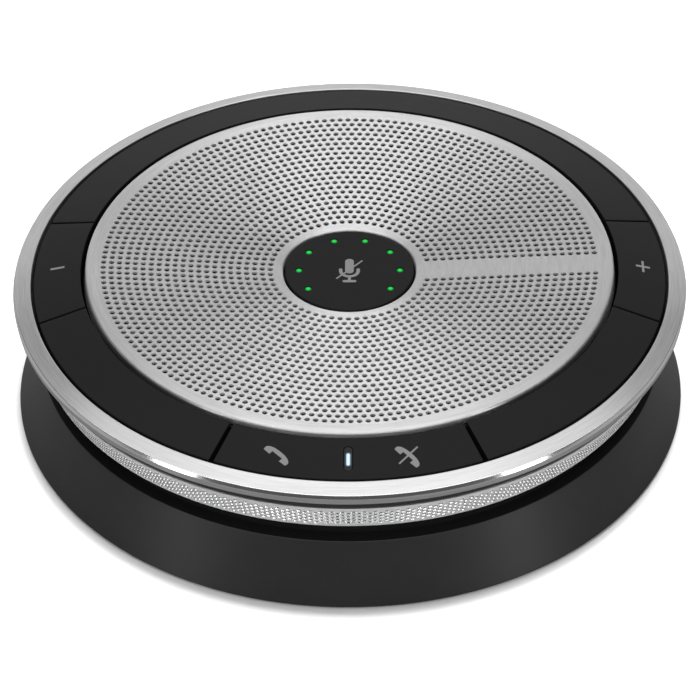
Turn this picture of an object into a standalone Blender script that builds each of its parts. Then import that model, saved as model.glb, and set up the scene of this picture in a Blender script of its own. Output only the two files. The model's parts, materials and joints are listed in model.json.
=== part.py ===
"""Conference speakerphone: a flat round desk unit with a steel grille, a key ring and a flared base.

Every number below is in millimetres or degrees; the helpers scale to metres. The origin is the centre
of the unit on the table, +Z is up, +X is towards the volume-up key and -Y is towards the user.
"""

import math

import bmesh
import bpy
from mathutils import Matrix, Vector

MM = 0.001

# ---- driving dimensions -------------------------------------------------------------------------
FIT_GAP = 0.3           # running clearance between neighbouring pieces
OUTER_SEGMENTS = 56     # sides of the large outer rings
INNER_SEGMENTS = 40     # sides of the large inner rings
SPEAKER_SEGMENTS = 28
SMALL_SEGMENTS = 24
POST_SEGMENTS = 8
SCREW_SEGMENTS = 8
GLAND_SEGMENTS = 16

BASE_R = 55.3           # foot of the flared base
SHOULDER_R = 51.2       # top of the flare
SHOULDER_Z = 10.6
NECK_R = 49.3           # set back under the band
NECK_Z = 11.0
NECK_WALL = 1.4
BASE_EDGE_Z = 0.4       # the base stands this far off the table on its rubber foot
DECK_Z = 13.7           # top of the base
DECK_THICK = 1.6
DECK_HOLE_R = 40.5
BASE_WALL = 1.7

COVER_R = 53.1
COVER_Z = 0.9
COVER_TOP_Z = 2.4
FOOT_INNER_R = 47.5
FOOT_OUTER_R = 51.9
FOOT_THICK = 1.2

BAND_TOP_R = 53.5
BAND_BOTTOM_R = 51.3
BAND_TOP_Z = 19.4
BAND_BOTTOM_Z = 13.95
SHEET = 0.6             # thickness of the steel grille and side band

RIM_INNER_R = 52.0
RIM_OUTER_R = 54.95
RIM_SHOULDER_R = 54.6
RIM_SHOULDER_Z = 22.95
RIM_SIDE_Z = 22.5
RIM_TOP_Z = 23.8
RIM_BOTTOM_Z = 21.2

RING_INNER_R = 43.8
RING_OUTER_R = 51.55
RING_INNER_Z = 25.4
RING_OUTER_Z = 23.65
RING_BOTTOM_Z = 20.4
RECESS_Z = 21.6         # floor of the recesses that hold the keys
KEY_BOTTOM_Z = 22.3
KEY_R = 47.7            # middle of the key ring
KEY_TRAVEL = 0.5
SEAM = 0.4              # gap between a volume key and the ring
CALL_SEAM = 0.7

VOLUME_UP = (-15.0, 15.0)
VOLUME_DOWN = (165.0, 195.0)
CALL = (245.9, 294.1)
FRONT = 270.0

POST_R = 1.1
POST_HOLE_R = 1.5
HOOK_R = 1.8
HOOK_THICK = 0.6
HOOK_ANGLE = 9.0        # hooks either side of a volume key's middle
CALL_HOOK_ANGLE = 23.0
CALL_PLUNGER_ANGLE = 14.5

SLOT_WIDTH = 1.45
SLOT_LENGTH = 4.7
PIPE_BOTTOM_Z = 19.5
FULCRUM_R = 0.7         # ridge on which the call key rocks, either side of the light
FULCRUM_GAP = 0.08
FULCRUM_SPANS = ((44.2, 44.9), (50.5, 51.3))

GRILLE_R = 43.1
GRILLE_HOLE_R = 10.85
GRILLE_MIDDLE_R = 27.0
GRILLE_EDGE = 0.35      # chamfer of the grille's outer edge
GRILLE_SKIRT_Z = 24.3
GRILLE_COLLAR = 0.45    # thickness of the collar round the mute button
GRILLE_COLLAR_Z = 22.9
CLOTH_INNER_R = 12.3
CLOTH_OUTER_R = 40.6
CLOTH_THICK = 0.3

MUTE_R = 10.55
MUTE_EDGE = 0.3
MUTE_INNER_R = 9.7
MUTE_STEM_R = 1.3
MUTE_STEM_Z = 22.55
MUTE_TOP_Z = 23.97
MUTE_PLATE = 0.97
MUTE_FLANGE_R = 11.9
MUTE_FLANGE_THICK = 0.5
LED_R = 8.25
LED_ANGLES = [-36 + 36 * step for step in range(8)]
LED_PIP_R = 0.5
LED_HOLE_R = 0.65
GUIDE_INNER_R = 7.3
GUIDE_OUTER_R = 9.2
GUIDE_LOW_Z = 22.2
GUIDE_TOP_Z = 22.7

HOUSING_R = 53.3
HOUSING_SHELF_Z = 20.9
TROUGH_Z = 14.0
TROUGH_TOP_Z = 15.0
INNER_WALL_R = 41.0
INNER_WALL_OUTER_R = 43.4
INNER_WALL_TOP_Z = 24.0
BRIDGE_Z = 18.9
BRIDGE_TOP_Z = 20.1
SPEAKER_LEDGE_R = 33.0
HUB_R = 12.8
RIB_WIDTH = 3.0
RIB_ANGLES = (30, 150, 270)

KEY_BOARD_Z = 17.1
KEY_BOARD_THICK = 1.0
KEY_BOARD_INNER_R = 44.4
KEY_BOARD_OUTER_R = 49.5
SWITCH_HALF = 1.7
SWITCH_CAN = 0.6
SWITCH_BUTTON_R = 1.0
SWITCH_HEIGHT = 0.9
PILLAR_R = 45.7         # radius on which the housing's screw pillars stand
PILLAR_ANGLES = (30, 150, 210, 330)
MICROPHONE_R = 46.6

SPEAKER_R = 38.5
SPEAKER_SCREW_R = 36.2
SPEAKER_SCREW_ANGLES = (0, 90, 180, 270)
SPEAKER_FLANGE_Z = 16.8

BOTTOM_SCREW_R = 43.6
BOTTOM_SCREW_ANGLES = (45, 135, 225, 315)
BOARD_SCREW_R = 33.0
BOARD_SCREW_ANGLES = (60, 180, 300)
BOARD_Z = 3.0
BOARD_THICK = 1.2
BOARD_R = 38.0

GLAND_Z = 6.6
GLAND_FACE_Y = 49.5     # flat floor of the pocket round the cable gland
GLAND_BORE_R = 1.5
GLAND_NECK_R = 2.0
GLAND_HOLE_R = 2.3
GLAND_FLANGE_R = 2.9
GLAND_INNER_FLANGE_R = 2.9
GLAND_TIP_Y = 50.9
GLAND_ROOT_Y = 46.0
GLAND_INNER_FLANGE = 0.9
PAD_LOW = (-7.0, 47.2, 2.9)         # thickened wall behind the pocket
PAD_HIGH = (7.0, 50.0, 10.2)
POCKET_LOW = (-5.0, GLAND_FACE_Y, 3.5)
POCKET_HIGH = (5.0, 60.0, 9.7)

SCREW_SHANK_R = 0.9
SCREW_HOLE_R = 1.2
SCREW_HEAD_R = 1.8
SCREW_HEAD = 0.8
COVER_SCREW_HEAD_R = 1.9
COVER_SCREW_HEAD = 0.5
COVER_SCREW_SEAT_Z = 1.5
COUNTERBORE_R = 2.3
COUNTERBORE_Z = 1.75
BASE_BOSS_R = 2.8       # bosses for the screws of the bottom cover
BASE_BOSS_DEPTH_Z = 9.0
BOARD_POST_R = 2.4
PILLAR_BOSS_R = 2.1
PILLAR_BOSS_Z = 14.4
PILLAR_HOLE_Z = 16.2
PILLAR_CLEARANCE_R = 1.4
BITE = 0.5              # overlap of two solids that are united
THROUGH = 1.0           # how far a cutter runs past what it cuts

# ---- finishes: colour, roughness, metallic --------------------------------------------------------
FINISHES = {
    "brushed_steel": ((0.60, 0.60, 0.59), 0.32, 1.0),
    "plated_steel": ((0.48, 0.49, 0.50), 0.30, 1.0),
    "satin_black": ((0.018, 0.018, 0.019), 0.45, 0.0),
    "soft_touch_black": ((0.016, 0.016, 0.017), 0.62, 0.0),
    "housing_black": ((0.022, 0.022, 0.023), 0.55, 0.0),
    "smoked_window": ((0.010, 0.011, 0.013), 0.18, 0.0),
    "green_light": ((0.02, 0.80, 0.12), 0.35, 0.0),
    "acoustic_cloth": ((0.010, 0.010, 0.010), 0.90, 0.0),
    "circuit_board": ((0.010, 0.120, 0.045), 0.45, 0.0),
    "component_black": ((0.020, 0.020, 0.022), 0.40, 0.0),
    "ferrite": ((0.050, 0.050, 0.052), 0.60, 0.0),
    "paper_cone": ((0.030, 0.029, 0.028), 0.85, 0.0),
    "rubber": ((0.020, 0.020, 0.020), 0.80, 0.0),
    "copper": ((0.70, 0.33, 0.18), 0.35, 1.0),
    "screw_steel": ((0.42, 0.42, 0.43), 0.35, 1.0),
}


# ---- helpers --------------------------------------------------------------------------------------
def clear_scene():
    for obj in list(bpy.data.objects):
        bpy.data.objects.remove(obj, do_unlink=True)


def make_materials():
    made = {}
    for name, (colour, roughness, metallic) in FINISHES.items():
        material = bpy.data.materials.new(name)
        material.use_nodes = True
        shader = material.node_tree.nodes["Principled BSDF"]
        shader.inputs["Base Color"].default_value = (*colour, 1.0)
        shader.inputs["Roughness"].default_value = roughness
        shader.inputs["Metallic"].default_value = metallic
        made[name] = material
    return made


def add_object(name, bm, finish=None, origin=(0.0, 0.0, 0.0), parent=None):
    """Turns a bmesh in millimetres into an object whose origin is at the given point."""
    bmesh.ops.recalc_face_normals(bm, faces=bm.faces)
    bmesh.ops.translate(bm, verts=bm.verts, vec=-Vector(origin))
    bmesh.ops.scale(bm, verts=bm.verts, vec=(MM, MM, MM))
    mesh = bpy.data.meshes.new(name)
    bm.to_mesh(mesh)
    bm.free()
    mesh.shade_smooth()
    mesh.set_sharp_from_angle(angle=math.radians(35))
    obj = bpy.data.objects.new(name, mesh)
    bpy.context.scene.collection.objects.link(obj)
    if finish:
        mesh.materials.append(MATERIALS[finish])
    obj.parent = parent or ROOT
    obj.location = Vector(origin) * MM - (parent.location if parent else Vector())
    return obj


def polar(radius, degrees, z):
    angle = math.radians(degrees)
    return Vector((radius * math.cos(angle), radius * math.sin(angle), z))


def quads_between(bm, first, second):
    """Joins two loops of vertices; a loop of one vertex is a point on the axis."""
    count = max(len(first), len(second))
    for i in range(count):
        corners = [first[i % len(first)], first[(i + 1) % len(first)],
                   second[(i + 1) % len(second)], second[i % len(second)]]
        bm.faces.new(list(dict.fromkeys(corners)))


def turned(profile, segments):
    """A solid of revolution about Z from a closed outline of (radius, height) points."""
    bm = bmesh.new()
    loops = []
    for radius, z in profile:
        count = segments if radius > 0 else 1
        loops.append([bm.verts.new(polar(radius, 360 * i / segments, z)) for i in range(count)])
    for i, loop in enumerate(loops):
        following = loops[(i + 1) % len(loops)]
        if len(loop) > 1 or len(following) > 1:
            quads_between(bm, loop, following)
    return bm


def sector(profile, start, end, steps):
    """A closed outline of (radius, height) points swept about Z through part of a turn."""
    bm = bmesh.new()
    rows = []
    for i in range(steps + 1):
        angle = start + (end - start) * i / steps
        rows.append([bm.verts.new(polar(radius, angle, z)) for radius, z in profile])
    for near, far in zip(rows, rows[1:]):
        quads_between(bm, near, far)
    bm.faces.new(rows[0])
    bm.faces.new(rows[-1])
    return bm


def cylinder_at(bm, centre, radius, low, high, segments=POST_SEGMENTS):
    """Adds an upright cylinder to a bmesh."""
    depth = high - low
    place = Matrix.Translation((centre[0], centre[1], (low + high) / 2))
    bmesh.ops.create_cone(bm, cap_ends=True, segments=segments, radius1=radius, radius2=radius,
                          depth=depth, matrix=place)


def cylinders(centres, radius, low, high, segments=POST_SEGMENTS):
    bm = bmesh.new()
    for centre in centres:
        cylinder_at(bm, centre, radius, low, high, segments)
    return bm


def block(low, high):
    bm = bmesh.new()
    bmesh.ops.create_cube(bm, size=1.0)
    size = Vector(high) - Vector(low)
    bmesh.ops.scale(bm, verts=bm.verts, vec=size)
    bmesh.ops.translate(bm, verts=bm.verts, vec=(Vector(high) + Vector(low)) / 2)
    return bm


def along_y(profile, x, z, segments):
    """A turned solid about a line along Y; the outline's heights become Y."""
    bm = turned(profile, segments)
    bmesh.ops.rotate(bm, verts=bm.verts, matrix=Matrix.Rotation(math.radians(-90), 3, "X"))
    bmesh.ops.translate(bm, verts=bm.verts, vec=(x, 0, z))
    return bm


def ring_positions(radius, angles):
    return [polar(radius, angle, 0) for angle in angles]


def combine(target, bm, operation):
    """Cuts a helper shape from the target, or unites the two; the helper stays hidden."""
    index = sum(modifier.type == "BOOLEAN" for modifier in target.modifiers) + 1
    helper = add_object(f"{target.name}_{operation.lower()}_{index}", bm)
    helper.hide_render = True
    helper.display_type = "WIRE"
    modifier = target.modifiers.new(helper.name, "BOOLEAN")
    modifier.operation = operation
    modifier.solver = "EXACT"
    modifier.object = helper
    return modifier


def cut(target, bm):
    combine(target, bm, "DIFFERENCE")


def unite(target, bm):
    combine(target, bm, "UNION")


def screw(name, centre, head_z, head_r, head_thick, length, points_up):
    """A pan-head screw; head_z is the height of the head's bearing face."""
    sign = 1 if points_up else -1
    outline = [(0, head_z - sign * head_thick), (head_r, head_z - sign * head_thick), (head_r, head_z),
               (SCREW_SHANK_R, head_z), (SCREW_SHANK_R, head_z + sign * length),
               (0, head_z + sign * length)]
    bm = turned(outline, SCREW_SEGMENTS)
    bmesh.ops.translate(bm, verts=bm.verts, vec=(centre[0], centre[1], 0))
    return add_object(name, bm, "screw_steel")


# ---- base -----------------------------------------------------------------------------------------
def base_outer_r(z):
    slope = (BASE_R - SHOULDER_R) / (SHOULDER_Z - BASE_EDGE_Z)
    return BASE_R - slope * (z - BASE_EDGE_Z)


def lower_housing():
    lip_r = COVER_R + FIT_GAP
    ledge_z = COVER_TOP_Z + FIT_GAP
    deck_under = DECK_Z - DECK_THICK
    outline = [
        (NECK_R, DECK_Z), (NECK_R, NECK_Z), (SHOULDER_R, SHOULDER_Z), (BASE_R, BASE_EDGE_Z),
        (lip_r, BASE_EDGE_Z), (lip_r, ledge_z), (base_outer_r(ledge_z) - BASE_WALL, ledge_z),
        (SHOULDER_R - BASE_WALL, SHOULDER_Z - BASE_WALL), (NECK_R - NECK_WALL, NECK_Z - BASE_WALL),
        (NECK_R - NECK_WALL, deck_under), (DECK_HOLE_R, deck_under), (DECK_HOLE_R, DECK_Z),
    ]
    shell = add_object("lower_housing", turned(outline, OUTER_SEGMENTS), "soft_touch_black")
    bosses = ring_positions(BOTTOM_SCREW_R, BOTTOM_SCREW_ANGLES)
    unite(shell, cylinders(bosses, BASE_BOSS_R, ledge_z, deck_under + BITE))
    cut(shell, cylinders(bosses, SCREW_HOLE_R, ledge_z - THROUGH, BASE_BOSS_DEPTH_Z))
    pillars = ring_positions(PILLAR_R, PILLAR_ANGLES)
    cut(shell, cylinders(pillars, PILLAR_CLEARANCE_R, deck_under - THROUGH, DECK_Z + THROUGH))
    unite(shell, block(PAD_LOW, PAD_HIGH))
    cut(shell, block(POCKET_LOW, POCKET_HIGH))
    near, far = PAD_LOW[1] - THROUGH, POCKET_HIGH[1]
    bore = [(0, far), (GLAND_HOLE_R, far), (GLAND_HOLE_R, near), (0, near)]
    cut(shell, along_y(bore, 0, GLAND_Z, GLAND_SEGMENTS))


def cable_gland():
    """A short rubber bush with a flange either side of the pocket's wall."""
    face_y = GLAND_FACE_Y + FIT_GAP
    inner_face_y = GLAND_ROOT_Y + GLAND_INNER_FLANGE
    edge = 0.25
    outline = [
        (GLAND_BORE_R, GLAND_TIP_Y), (GLAND_FLANGE_R - edge, GLAND_TIP_Y),
        (GLAND_FLANGE_R, GLAND_TIP_Y - edge), (GLAND_FLANGE_R, face_y), (GLAND_NECK_R, face_y),
        (GLAND_NECK_R, inner_face_y), (GLAND_INNER_FLANGE_R, inner_face_y),
        (GLAND_INNER_FLANGE_R, GLAND_ROOT_Y), (GLAND_BORE_R, GLAND_ROOT_Y),
    ]
    add_object("cable_gland", along_y(outline, 0, GLAND_Z, GLAND_SEGMENTS), "rubber")


def bottom_cover():
    groove_z = FOOT_THICK + FIT_GAP
    outline = [
        (0, COVER_TOP_Z), (COVER_R, COVER_TOP_Z), (COVER_R, COVER_Z), (FOOT_OUTER_R + FIT_GAP, COVER_Z),
        (FOOT_OUTER_R + FIT_GAP, groove_z), (FOOT_INNER_R - FIT_GAP, groove_z),
        (FOOT_INNER_R - FIT_GAP, COVER_Z), (0, COVER_Z),
    ]
    cover = add_object("bottom_cover", turned(outline, INNER_SEGMENTS), "housing_black")
    screws = ring_positions(BOTTOM_SCREW_R, BOTTOM_SCREW_ANGLES)
    cut(cover, cylinders(screws, SCREW_HOLE_R, COVER_Z - THROUGH, COVER_TOP_Z + THROUGH))
    cut(cover, cylinders(screws, COUNTERBORE_R, COVER_Z - THROUGH, COUNTERBORE_Z))
    posts = ring_positions(BOARD_SCREW_R, BOARD_SCREW_ANGLES)
    unite(cover, cylinders(posts, BOARD_POST_R, COVER_TOP_Z - BITE, BOARD_Z - FIT_GAP))
    cut(cover, cylinders(posts, SCREW_HOLE_R, COVER_Z + BITE, BOARD_Z + THROUGH))


def rubber_foot():
    outline = [(FOOT_INNER_R, FOOT_THICK), (FOOT_OUTER_R, FOOT_THICK), (FOOT_OUTER_R, 0), (FOOT_INNER_R, 0)]
    add_object("rubber_foot", turned(outline, OUTER_SEGMENTS), "rubber")


def main_board():
    top = BOARD_Z + BOARD_THICK
    outline = [(0, top), (BOARD_R, top), (BOARD_R, BOARD_Z), (0, BOARD_Z)]
    board = add_object("main_board", turned(outline, SPEAKER_SEGMENTS), "circuit_board")
    screws = ring_positions(BOARD_SCREW_R, BOARD_SCREW_ANGLES)
    cut(board, cylinders(screws, SCREW_HOLE_R, BOARD_Z - THROUGH, top + THROUGH))
    low = top + FIT_GAP
    add_object("audio_processor", block((22.5, 6.5, low), (29.5, 13.5, low + 1.0)), "component_black")
    add_object("amplifier_chip", block((-28.0, 5.0, low), (-23.0, 10.0, low + 1.0)), "component_black")
    add_object("wire_header", block((-4.0, 27.0, low), (4.0, 31.0, low + 3.0)), "component_black")


def fasteners():
    for i, centre in enumerate(ring_positions(BOTTOM_SCREW_R, BOTTOM_SCREW_ANGLES), 1):
        screw(f"bottom_screw_{i}", centre, COVER_SCREW_SEAT_Z, COVER_SCREW_HEAD_R, COVER_SCREW_HEAD,
              7.0, True)
    for i, centre in enumerate(ring_positions(BOARD_SCREW_R, BOARD_SCREW_ANGLES), 1):
        seat_z = BOARD_Z + BOARD_THICK + FIT_GAP
        screw(f"board_screw_{i}", centre, seat_z, SCREW_HEAD_R, SCREW_HEAD, 2.7, False)
    for i, centre in enumerate(ring_positions(PILLAR_R, PILLAR_ANGLES), 1):
        seat_z = DECK_Z - DECK_THICK - FIT_GAP
        screw(f"head_screw_{i}", centre, seat_z, SCREW_HEAD_R, SCREW_HEAD, 4.1, True)
    for i, centre in enumerate(ring_positions(SPEAKER_SCREW_R, SPEAKER_SCREW_ANGLES), 1):
        seat_z = SPEAKER_FLANGE_Z - FIT_GAP
        screw(f"speaker_screw_{i}", centre, seat_z, SCREW_HEAD_R, SCREW_HEAD, 3.1, True)


# ---- head: housing, band and rim --------------------------------------------------------------------
def upper_housing():
    """An annular trough with an outer wall behind the band and three ribs to a hub at the middle."""
    shelf_under = BAND_TOP_Z + FIT_GAP
    seat_z = RING_BOTTOM_Z - FIT_GAP
    seat_inner_r, seat_outer_r = 50.0, 51.8
    outline = [
        (HOUSING_R, HOUSING_SHELF_Z), (HOUSING_R, shelf_under), (52.5, shelf_under), (50.4, TROUGH_Z),
        (INNER_WALL_R, TROUGH_Z), (INNER_WALL_R, BRIDGE_Z), (SPEAKER_LEDGE_R, BRIDGE_Z),
        (SPEAKER_LEDGE_R, BRIDGE_TOP_Z), (INNER_WALL_R, BRIDGE_TOP_Z), (INNER_WALL_R, INNER_WALL_TOP_Z),
        (INNER_WALL_OUTER_R, INNER_WALL_TOP_Z), (INNER_WALL_OUTER_R, TROUGH_TOP_Z), (49.2, TROUGH_TOP_Z),
        (50.8, BAND_TOP_Z), (seat_inner_r, BAND_TOP_Z), (seat_inner_r, seat_z), (seat_outer_r, seat_z),
        (seat_outer_r, HOUSING_SHELF_Z),
    ]
    housing = add_object("upper_housing", turned(outline, INNER_SEGMENTS), "housing_black")
    spider = bmesh.new()
    cylinder_at(spider, (0, 0), HUB_R, BRIDGE_Z, BRIDGE_TOP_Z, SMALL_SEGMENTS)
    unite(housing, spider)
    rib_inset = 0.1
    rib_low = (HUB_R - THROUGH, -RIB_WIDTH / 2, BRIDGE_Z + rib_inset)
    rib_high = (SPEAKER_LEDGE_R + THROUGH, RIB_WIDTH / 2, BRIDGE_TOP_Z - rib_inset)
    for angle in RIB_ANGLES:
        rib = block(rib_low, rib_high)
        bmesh.ops.rotate(rib, verts=rib.verts, matrix=Matrix.Rotation(math.radians(angle), 3, "Z"))
        unite(housing, rib)
    pillars = ring_positions(PILLAR_R, PILLAR_ANGLES)
    unite(housing, cylinders(pillars, PILLAR_BOSS_R, PILLAR_BOSS_Z, KEY_BOARD_Z - FIT_GAP))
    cut(housing, cylinders(pillars, SCREW_HOLE_R, TROUGH_Z - THROUGH, PILLAR_HOLE_Z))
    speaker_screws = ring_positions(SPEAKER_SCREW_R, SPEAKER_SCREW_ANGLES)
    cut(housing, cylinders(speaker_screws, SCREW_HOLE_R, BRIDGE_Z - THROUGH, BRIDGE_TOP_Z - FIT_GAP))
    port_r, port_z, port_start, port_end = 0.9, 16.1, -44.0, -56.0
    port = [(0, port_start), (port_r, port_start), (port_r, port_end), (0, port_end)]
    cut(housing, along_y(port, 0, port_z, POST_SEGMENTS))


def side_band():
    """The perforated steel band round the waist; its holes are too fine for this solid."""
    outline = [
        (BAND_TOP_R - SHEET, BAND_TOP_Z), (BAND_TOP_R, BAND_TOP_Z),
        (BAND_BOTTOM_R, BAND_BOTTOM_Z), (BAND_BOTTOM_R - SHEET, BAND_BOTTOM_Z),
    ]
    add_object("side_band", turned(outline, OUTER_SEGMENTS), "brushed_steel")


def outer_rim():
    outline = [
        (RIM_INNER_R, RIM_TOP_Z), (RIM_SHOULDER_R, RIM_SHOULDER_Z), (RIM_OUTER_R, RIM_SIDE_Z),
        (RIM_OUTER_R - 0.15, RIM_BOTTOM_Z), (RIM_INNER_R, RIM_BOTTOM_Z),
    ]
    add_object("outer_rim", turned(outline, OUTER_SEGMENTS), "brushed_steel")


# ---- key ring ---------------------------------------------------------------------------------------
def ring_top_z(radius):
    slope = (RING_INNER_Z - RING_OUTER_Z) / (RING_OUTER_R - RING_INNER_R)
    return RING_INNER_Z - slope * (radius - RING_INNER_R)


def slot_prism(grow, low, raise_top):
    """An upright bar with round ends at the front of the ring; its top follows the ring's slope."""
    half = SLOT_WIDTH / 2 + grow
    reach = SLOT_LENGTH / 2 - SLOT_WIDTH / 2
    points = []
    for side in (1, -1):
        for step in range(5):
            angle = math.radians(90 * (1 - side) + 45 * step)
            points.append((half * math.cos(angle), -KEY_R + side * reach + half * math.sin(angle)))
    bm = bmesh.new()
    tops = [ring_top_z(math.hypot(x, y)) + raise_top for x, y in points]
    bottom = [bm.verts.new((x, y, low)) for x, y in points]
    top = [bm.verts.new((x, y, z)) for (x, y), z in zip(points, tops)]
    quads_between(bm, bottom, top)
    bm.faces.new(bottom)
    bm.faces.new(top)
    return bm


def key_posts(span, hook_offset, plunger_offset):
    middle = sum(span) / 2
    hooks = ring_positions(KEY_R, (middle - hook_offset, middle + hook_offset))
    plungers = ring_positions(KEY_R, sorted({middle - plunger_offset, middle + plunger_offset}))
    return hooks, plungers


def control_ring():
    """One moulding: three fixed arcs standing on a floor, with a recess for each key."""
    outline = [
        (RING_INNER_R, RING_INNER_Z), (RING_OUTER_R, RING_OUTER_Z),
        (RING_OUTER_R, RING_BOTTOM_Z), (RING_INNER_R, RING_BOTTOM_Z),
    ]
    ring = add_object("control_ring", turned(outline, OUTER_SEGMENTS), "satin_black")
    near_r, far_r, above_z = RING_INNER_R - THROUGH, RING_OUTER_R + THROUGH, RING_INNER_Z + THROUGH
    recess = [(near_r, above_z), (far_r, above_z), (far_r, RECESS_Z), (near_r, RECESS_Z)]
    for span, seam, steps in ((VOLUME_UP, SEAM, 6), (VOLUME_DOWN, SEAM, 6), (CALL, CALL_SEAM, 10)):
        half_seam = math.degrees(seam / 2 / KEY_R)
        cut(ring, sector(recess, span[0] - half_seam, span[1] + half_seam, steps))
    half_width = SLOT_WIDTH / 2 + FIT_GAP
    half_length = SLOT_LENGTH / 2 + FIT_GAP
    low, high = RING_BOTTOM_Z - THROUGH, RECESS_Z + THROUGH
    cut(ring, block((-half_width, -KEY_R - half_length, low), (half_width, -KEY_R + half_length, high)))
    fulcrum_z = KEY_BOTTOM_Z - FULCRUM_GAP - FULCRUM_R
    for start, end in FULCRUM_SPANS:
        stub = [(0, -start), (FULCRUM_R, -start), (FULCRUM_R, -end), (0, -end)]
        unite(ring, along_y(stub, 0, fulcrum_z, 10))
    holes = []
    for span, hook, plunger in KEY_LAYOUT:
        hooks, plungers = key_posts(span, hook, plunger)
        holes += hooks + plungers
    cut(ring, cylinders(holes, POST_HOLE_R, low, high))


def key(name, span, seam, steps, hook_offset, plunger_offset, hook_z, plunger_z, origin):
    half_seam = math.degrees(seam / 2 / KEY_R)
    outline = [
        (RING_INNER_R, RING_INNER_Z), (RING_OUTER_R, RING_OUTER_Z),
        (RING_OUTER_R, KEY_BOTTOM_Z), (RING_INNER_R, KEY_BOTTOM_Z),
    ]
    body = add_object(name, sector(outline, span[0] + half_seam, span[1] - half_seam, steps),
                      "satin_black", origin)
    hooks, plungers = key_posts(span, hook_offset, plunger_offset)
    unite(body, cylinders(hooks, POST_R, hook_z - HOOK_THICK / 2, KEY_BOTTOM_Z + BITE))
    unite(body, cylinders(hooks, HOOK_R, hook_z - HOOK_THICK, hook_z))
    unite(body, cylinders(plungers, POST_R, plunger_z, KEY_BOTTOM_Z + BITE))
    return body


def keys():
    switch_top = KEY_BOARD_Z + KEY_BOARD_THICK + FIT_GAP + SWITCH_HEIGHT
    hook_z = RING_BOTTOM_Z - FIT_GAP
    for name, span in (("volume_up_key", VOLUME_UP), ("volume_down_key", VOLUME_DOWN)):
        origin = polar(KEY_R, sum(span) / 2, KEY_BOTTOM_Z)
        key(name, span, SEAM, 6, HOOK_ANGLE, 0, hook_z, switch_top + KEY_TRAVEL + 0.05, origin)
    rocker = key("call_key", CALL, CALL_SEAM, 10, CALL_HOOK_ANGLE, CALL_PLUNGER_ANGLE, hook_z - 0.25,
                 switch_top + 0.35, polar(KEY_R, FRONT, KEY_BOTTOM_Z))
    cut(rocker, slot_prism(0.15, 21.0, raise_top=1.0))


def status_light():
    add_object("status_light_pipe", slot_prism(0.0, PIPE_BOTTOM_Z, raise_top=-0.02), "smoked_window")
    board_top = KEY_BOARD_Z + KEY_BOARD_THICK
    low = board_top + FIT_GAP
    add_object("status_led", block((-0.8, -KEY_R - 1.2, low), (0.8, -KEY_R + 1.2, low + 0.7)),
               "component_black")


def key_board():
    top = KEY_BOARD_Z + KEY_BOARD_THICK
    outline = [(KEY_BOARD_INNER_R, top), (KEY_BOARD_OUTER_R, top), (KEY_BOARD_OUTER_R, KEY_BOARD_Z),
               (KEY_BOARD_INNER_R, KEY_BOARD_Z)]
    add_object("key_board", turned(outline, INNER_SEGMENTS), "circuit_board")
    low = top + FIT_GAP
    call_middle = sum(CALL) / 2
    places = {
        "volume_up_switch": sum(VOLUME_UP) / 2,
        "volume_down_switch": sum(VOLUME_DOWN) / 2,
        "answer_switch": call_middle - CALL_PLUNGER_ANGLE,
        "end_call_switch": call_middle + CALL_PLUNGER_ANGLE,
    }
    for name, angle in places.items():
        tactile_switch(name, angle, low)


def tactile_switch(name, angle, low):
    """A square metal can with a round button on top."""
    can_low, can_high = (-SWITCH_HALF, -SWITCH_HALF, low), (SWITCH_HALF, SWITCH_HALF, low + SWITCH_CAN)
    can = block(can_low, can_high)
    bmesh.ops.translate(can, verts=can.verts, vec=(KEY_R, 0, 0))
    bmesh.ops.rotate(can, verts=can.verts, matrix=Matrix.Rotation(math.radians(angle), 3, "Z"))
    switch = add_object(name, can, "plated_steel")
    button = cylinders([polar(KEY_R, angle, 0)], SWITCH_BUTTON_R, low + SWITCH_CAN / 2, low + SWITCH_HEIGHT)
    unite(switch, button)


def microphone():
    low = TROUGH_TOP_Z + FIT_GAP
    centre = polar(MICROPHONE_R, FRONT, 0)
    boot_inner_r, boot_r, boot_top = 2.3, 2.8, low + 1.5
    capsule_r, capsule_low, capsule_top = 2.0, low + 0.2, low + 1.4
    boot = turned([(boot_inner_r, boot_top), (boot_r, boot_top), (boot_r, low), (boot_inner_r, low)],
                  GLAND_SEGMENTS)
    capsule = turned([(0, capsule_top), (capsule_r, capsule_top), (capsule_r, capsule_low), (0, capsule_low)],
                     GLAND_SEGMENTS)
    for name, bm, finish in (("microphone_boot", boot, "rubber"),
                             ("microphone_capsule", capsule, "plated_steel")):
        bmesh.ops.translate(bm, verts=bm.verts, vec=centre)
        add_object(name, bm, finish)


# ---- grille and mute button -------------------------------------------------------------------------
def grille_z(radius):
    """Height of the dished grille's upper face."""
    reach = radius / 40
    return 23.17 + 2.455 * reach - 0.232 * reach ** 2


def speaker_grille():
    collar_r = GRILLE_HOLE_R + GRILLE_COLLAR
    skirt_r = GRILLE_R - SHEET
    edge_r = GRILLE_R - GRILLE_EDGE
    middle_z = grille_z(GRILLE_MIDDLE_R)
    outline = [
        (GRILLE_HOLE_R, grille_z(GRILLE_HOLE_R)), (GRILLE_MIDDLE_R, middle_z),
        (edge_r, grille_z(edge_r)), (GRILLE_R, grille_z(GRILLE_R) - GRILLE_EDGE),
        (GRILLE_R, GRILLE_SKIRT_Z), (skirt_r, GRILLE_SKIRT_Z), (skirt_r, grille_z(skirt_r) - SHEET),
        (GRILLE_MIDDLE_R, middle_z - SHEET), (collar_r, grille_z(collar_r) - SHEET),
        (collar_r, GRILLE_COLLAR_Z), (GRILLE_HOLE_R, GRILLE_COLLAR_Z),
    ]
    add_object("speaker_grille", turned(outline, OUTER_SEGMENTS), "brushed_steel")


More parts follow.
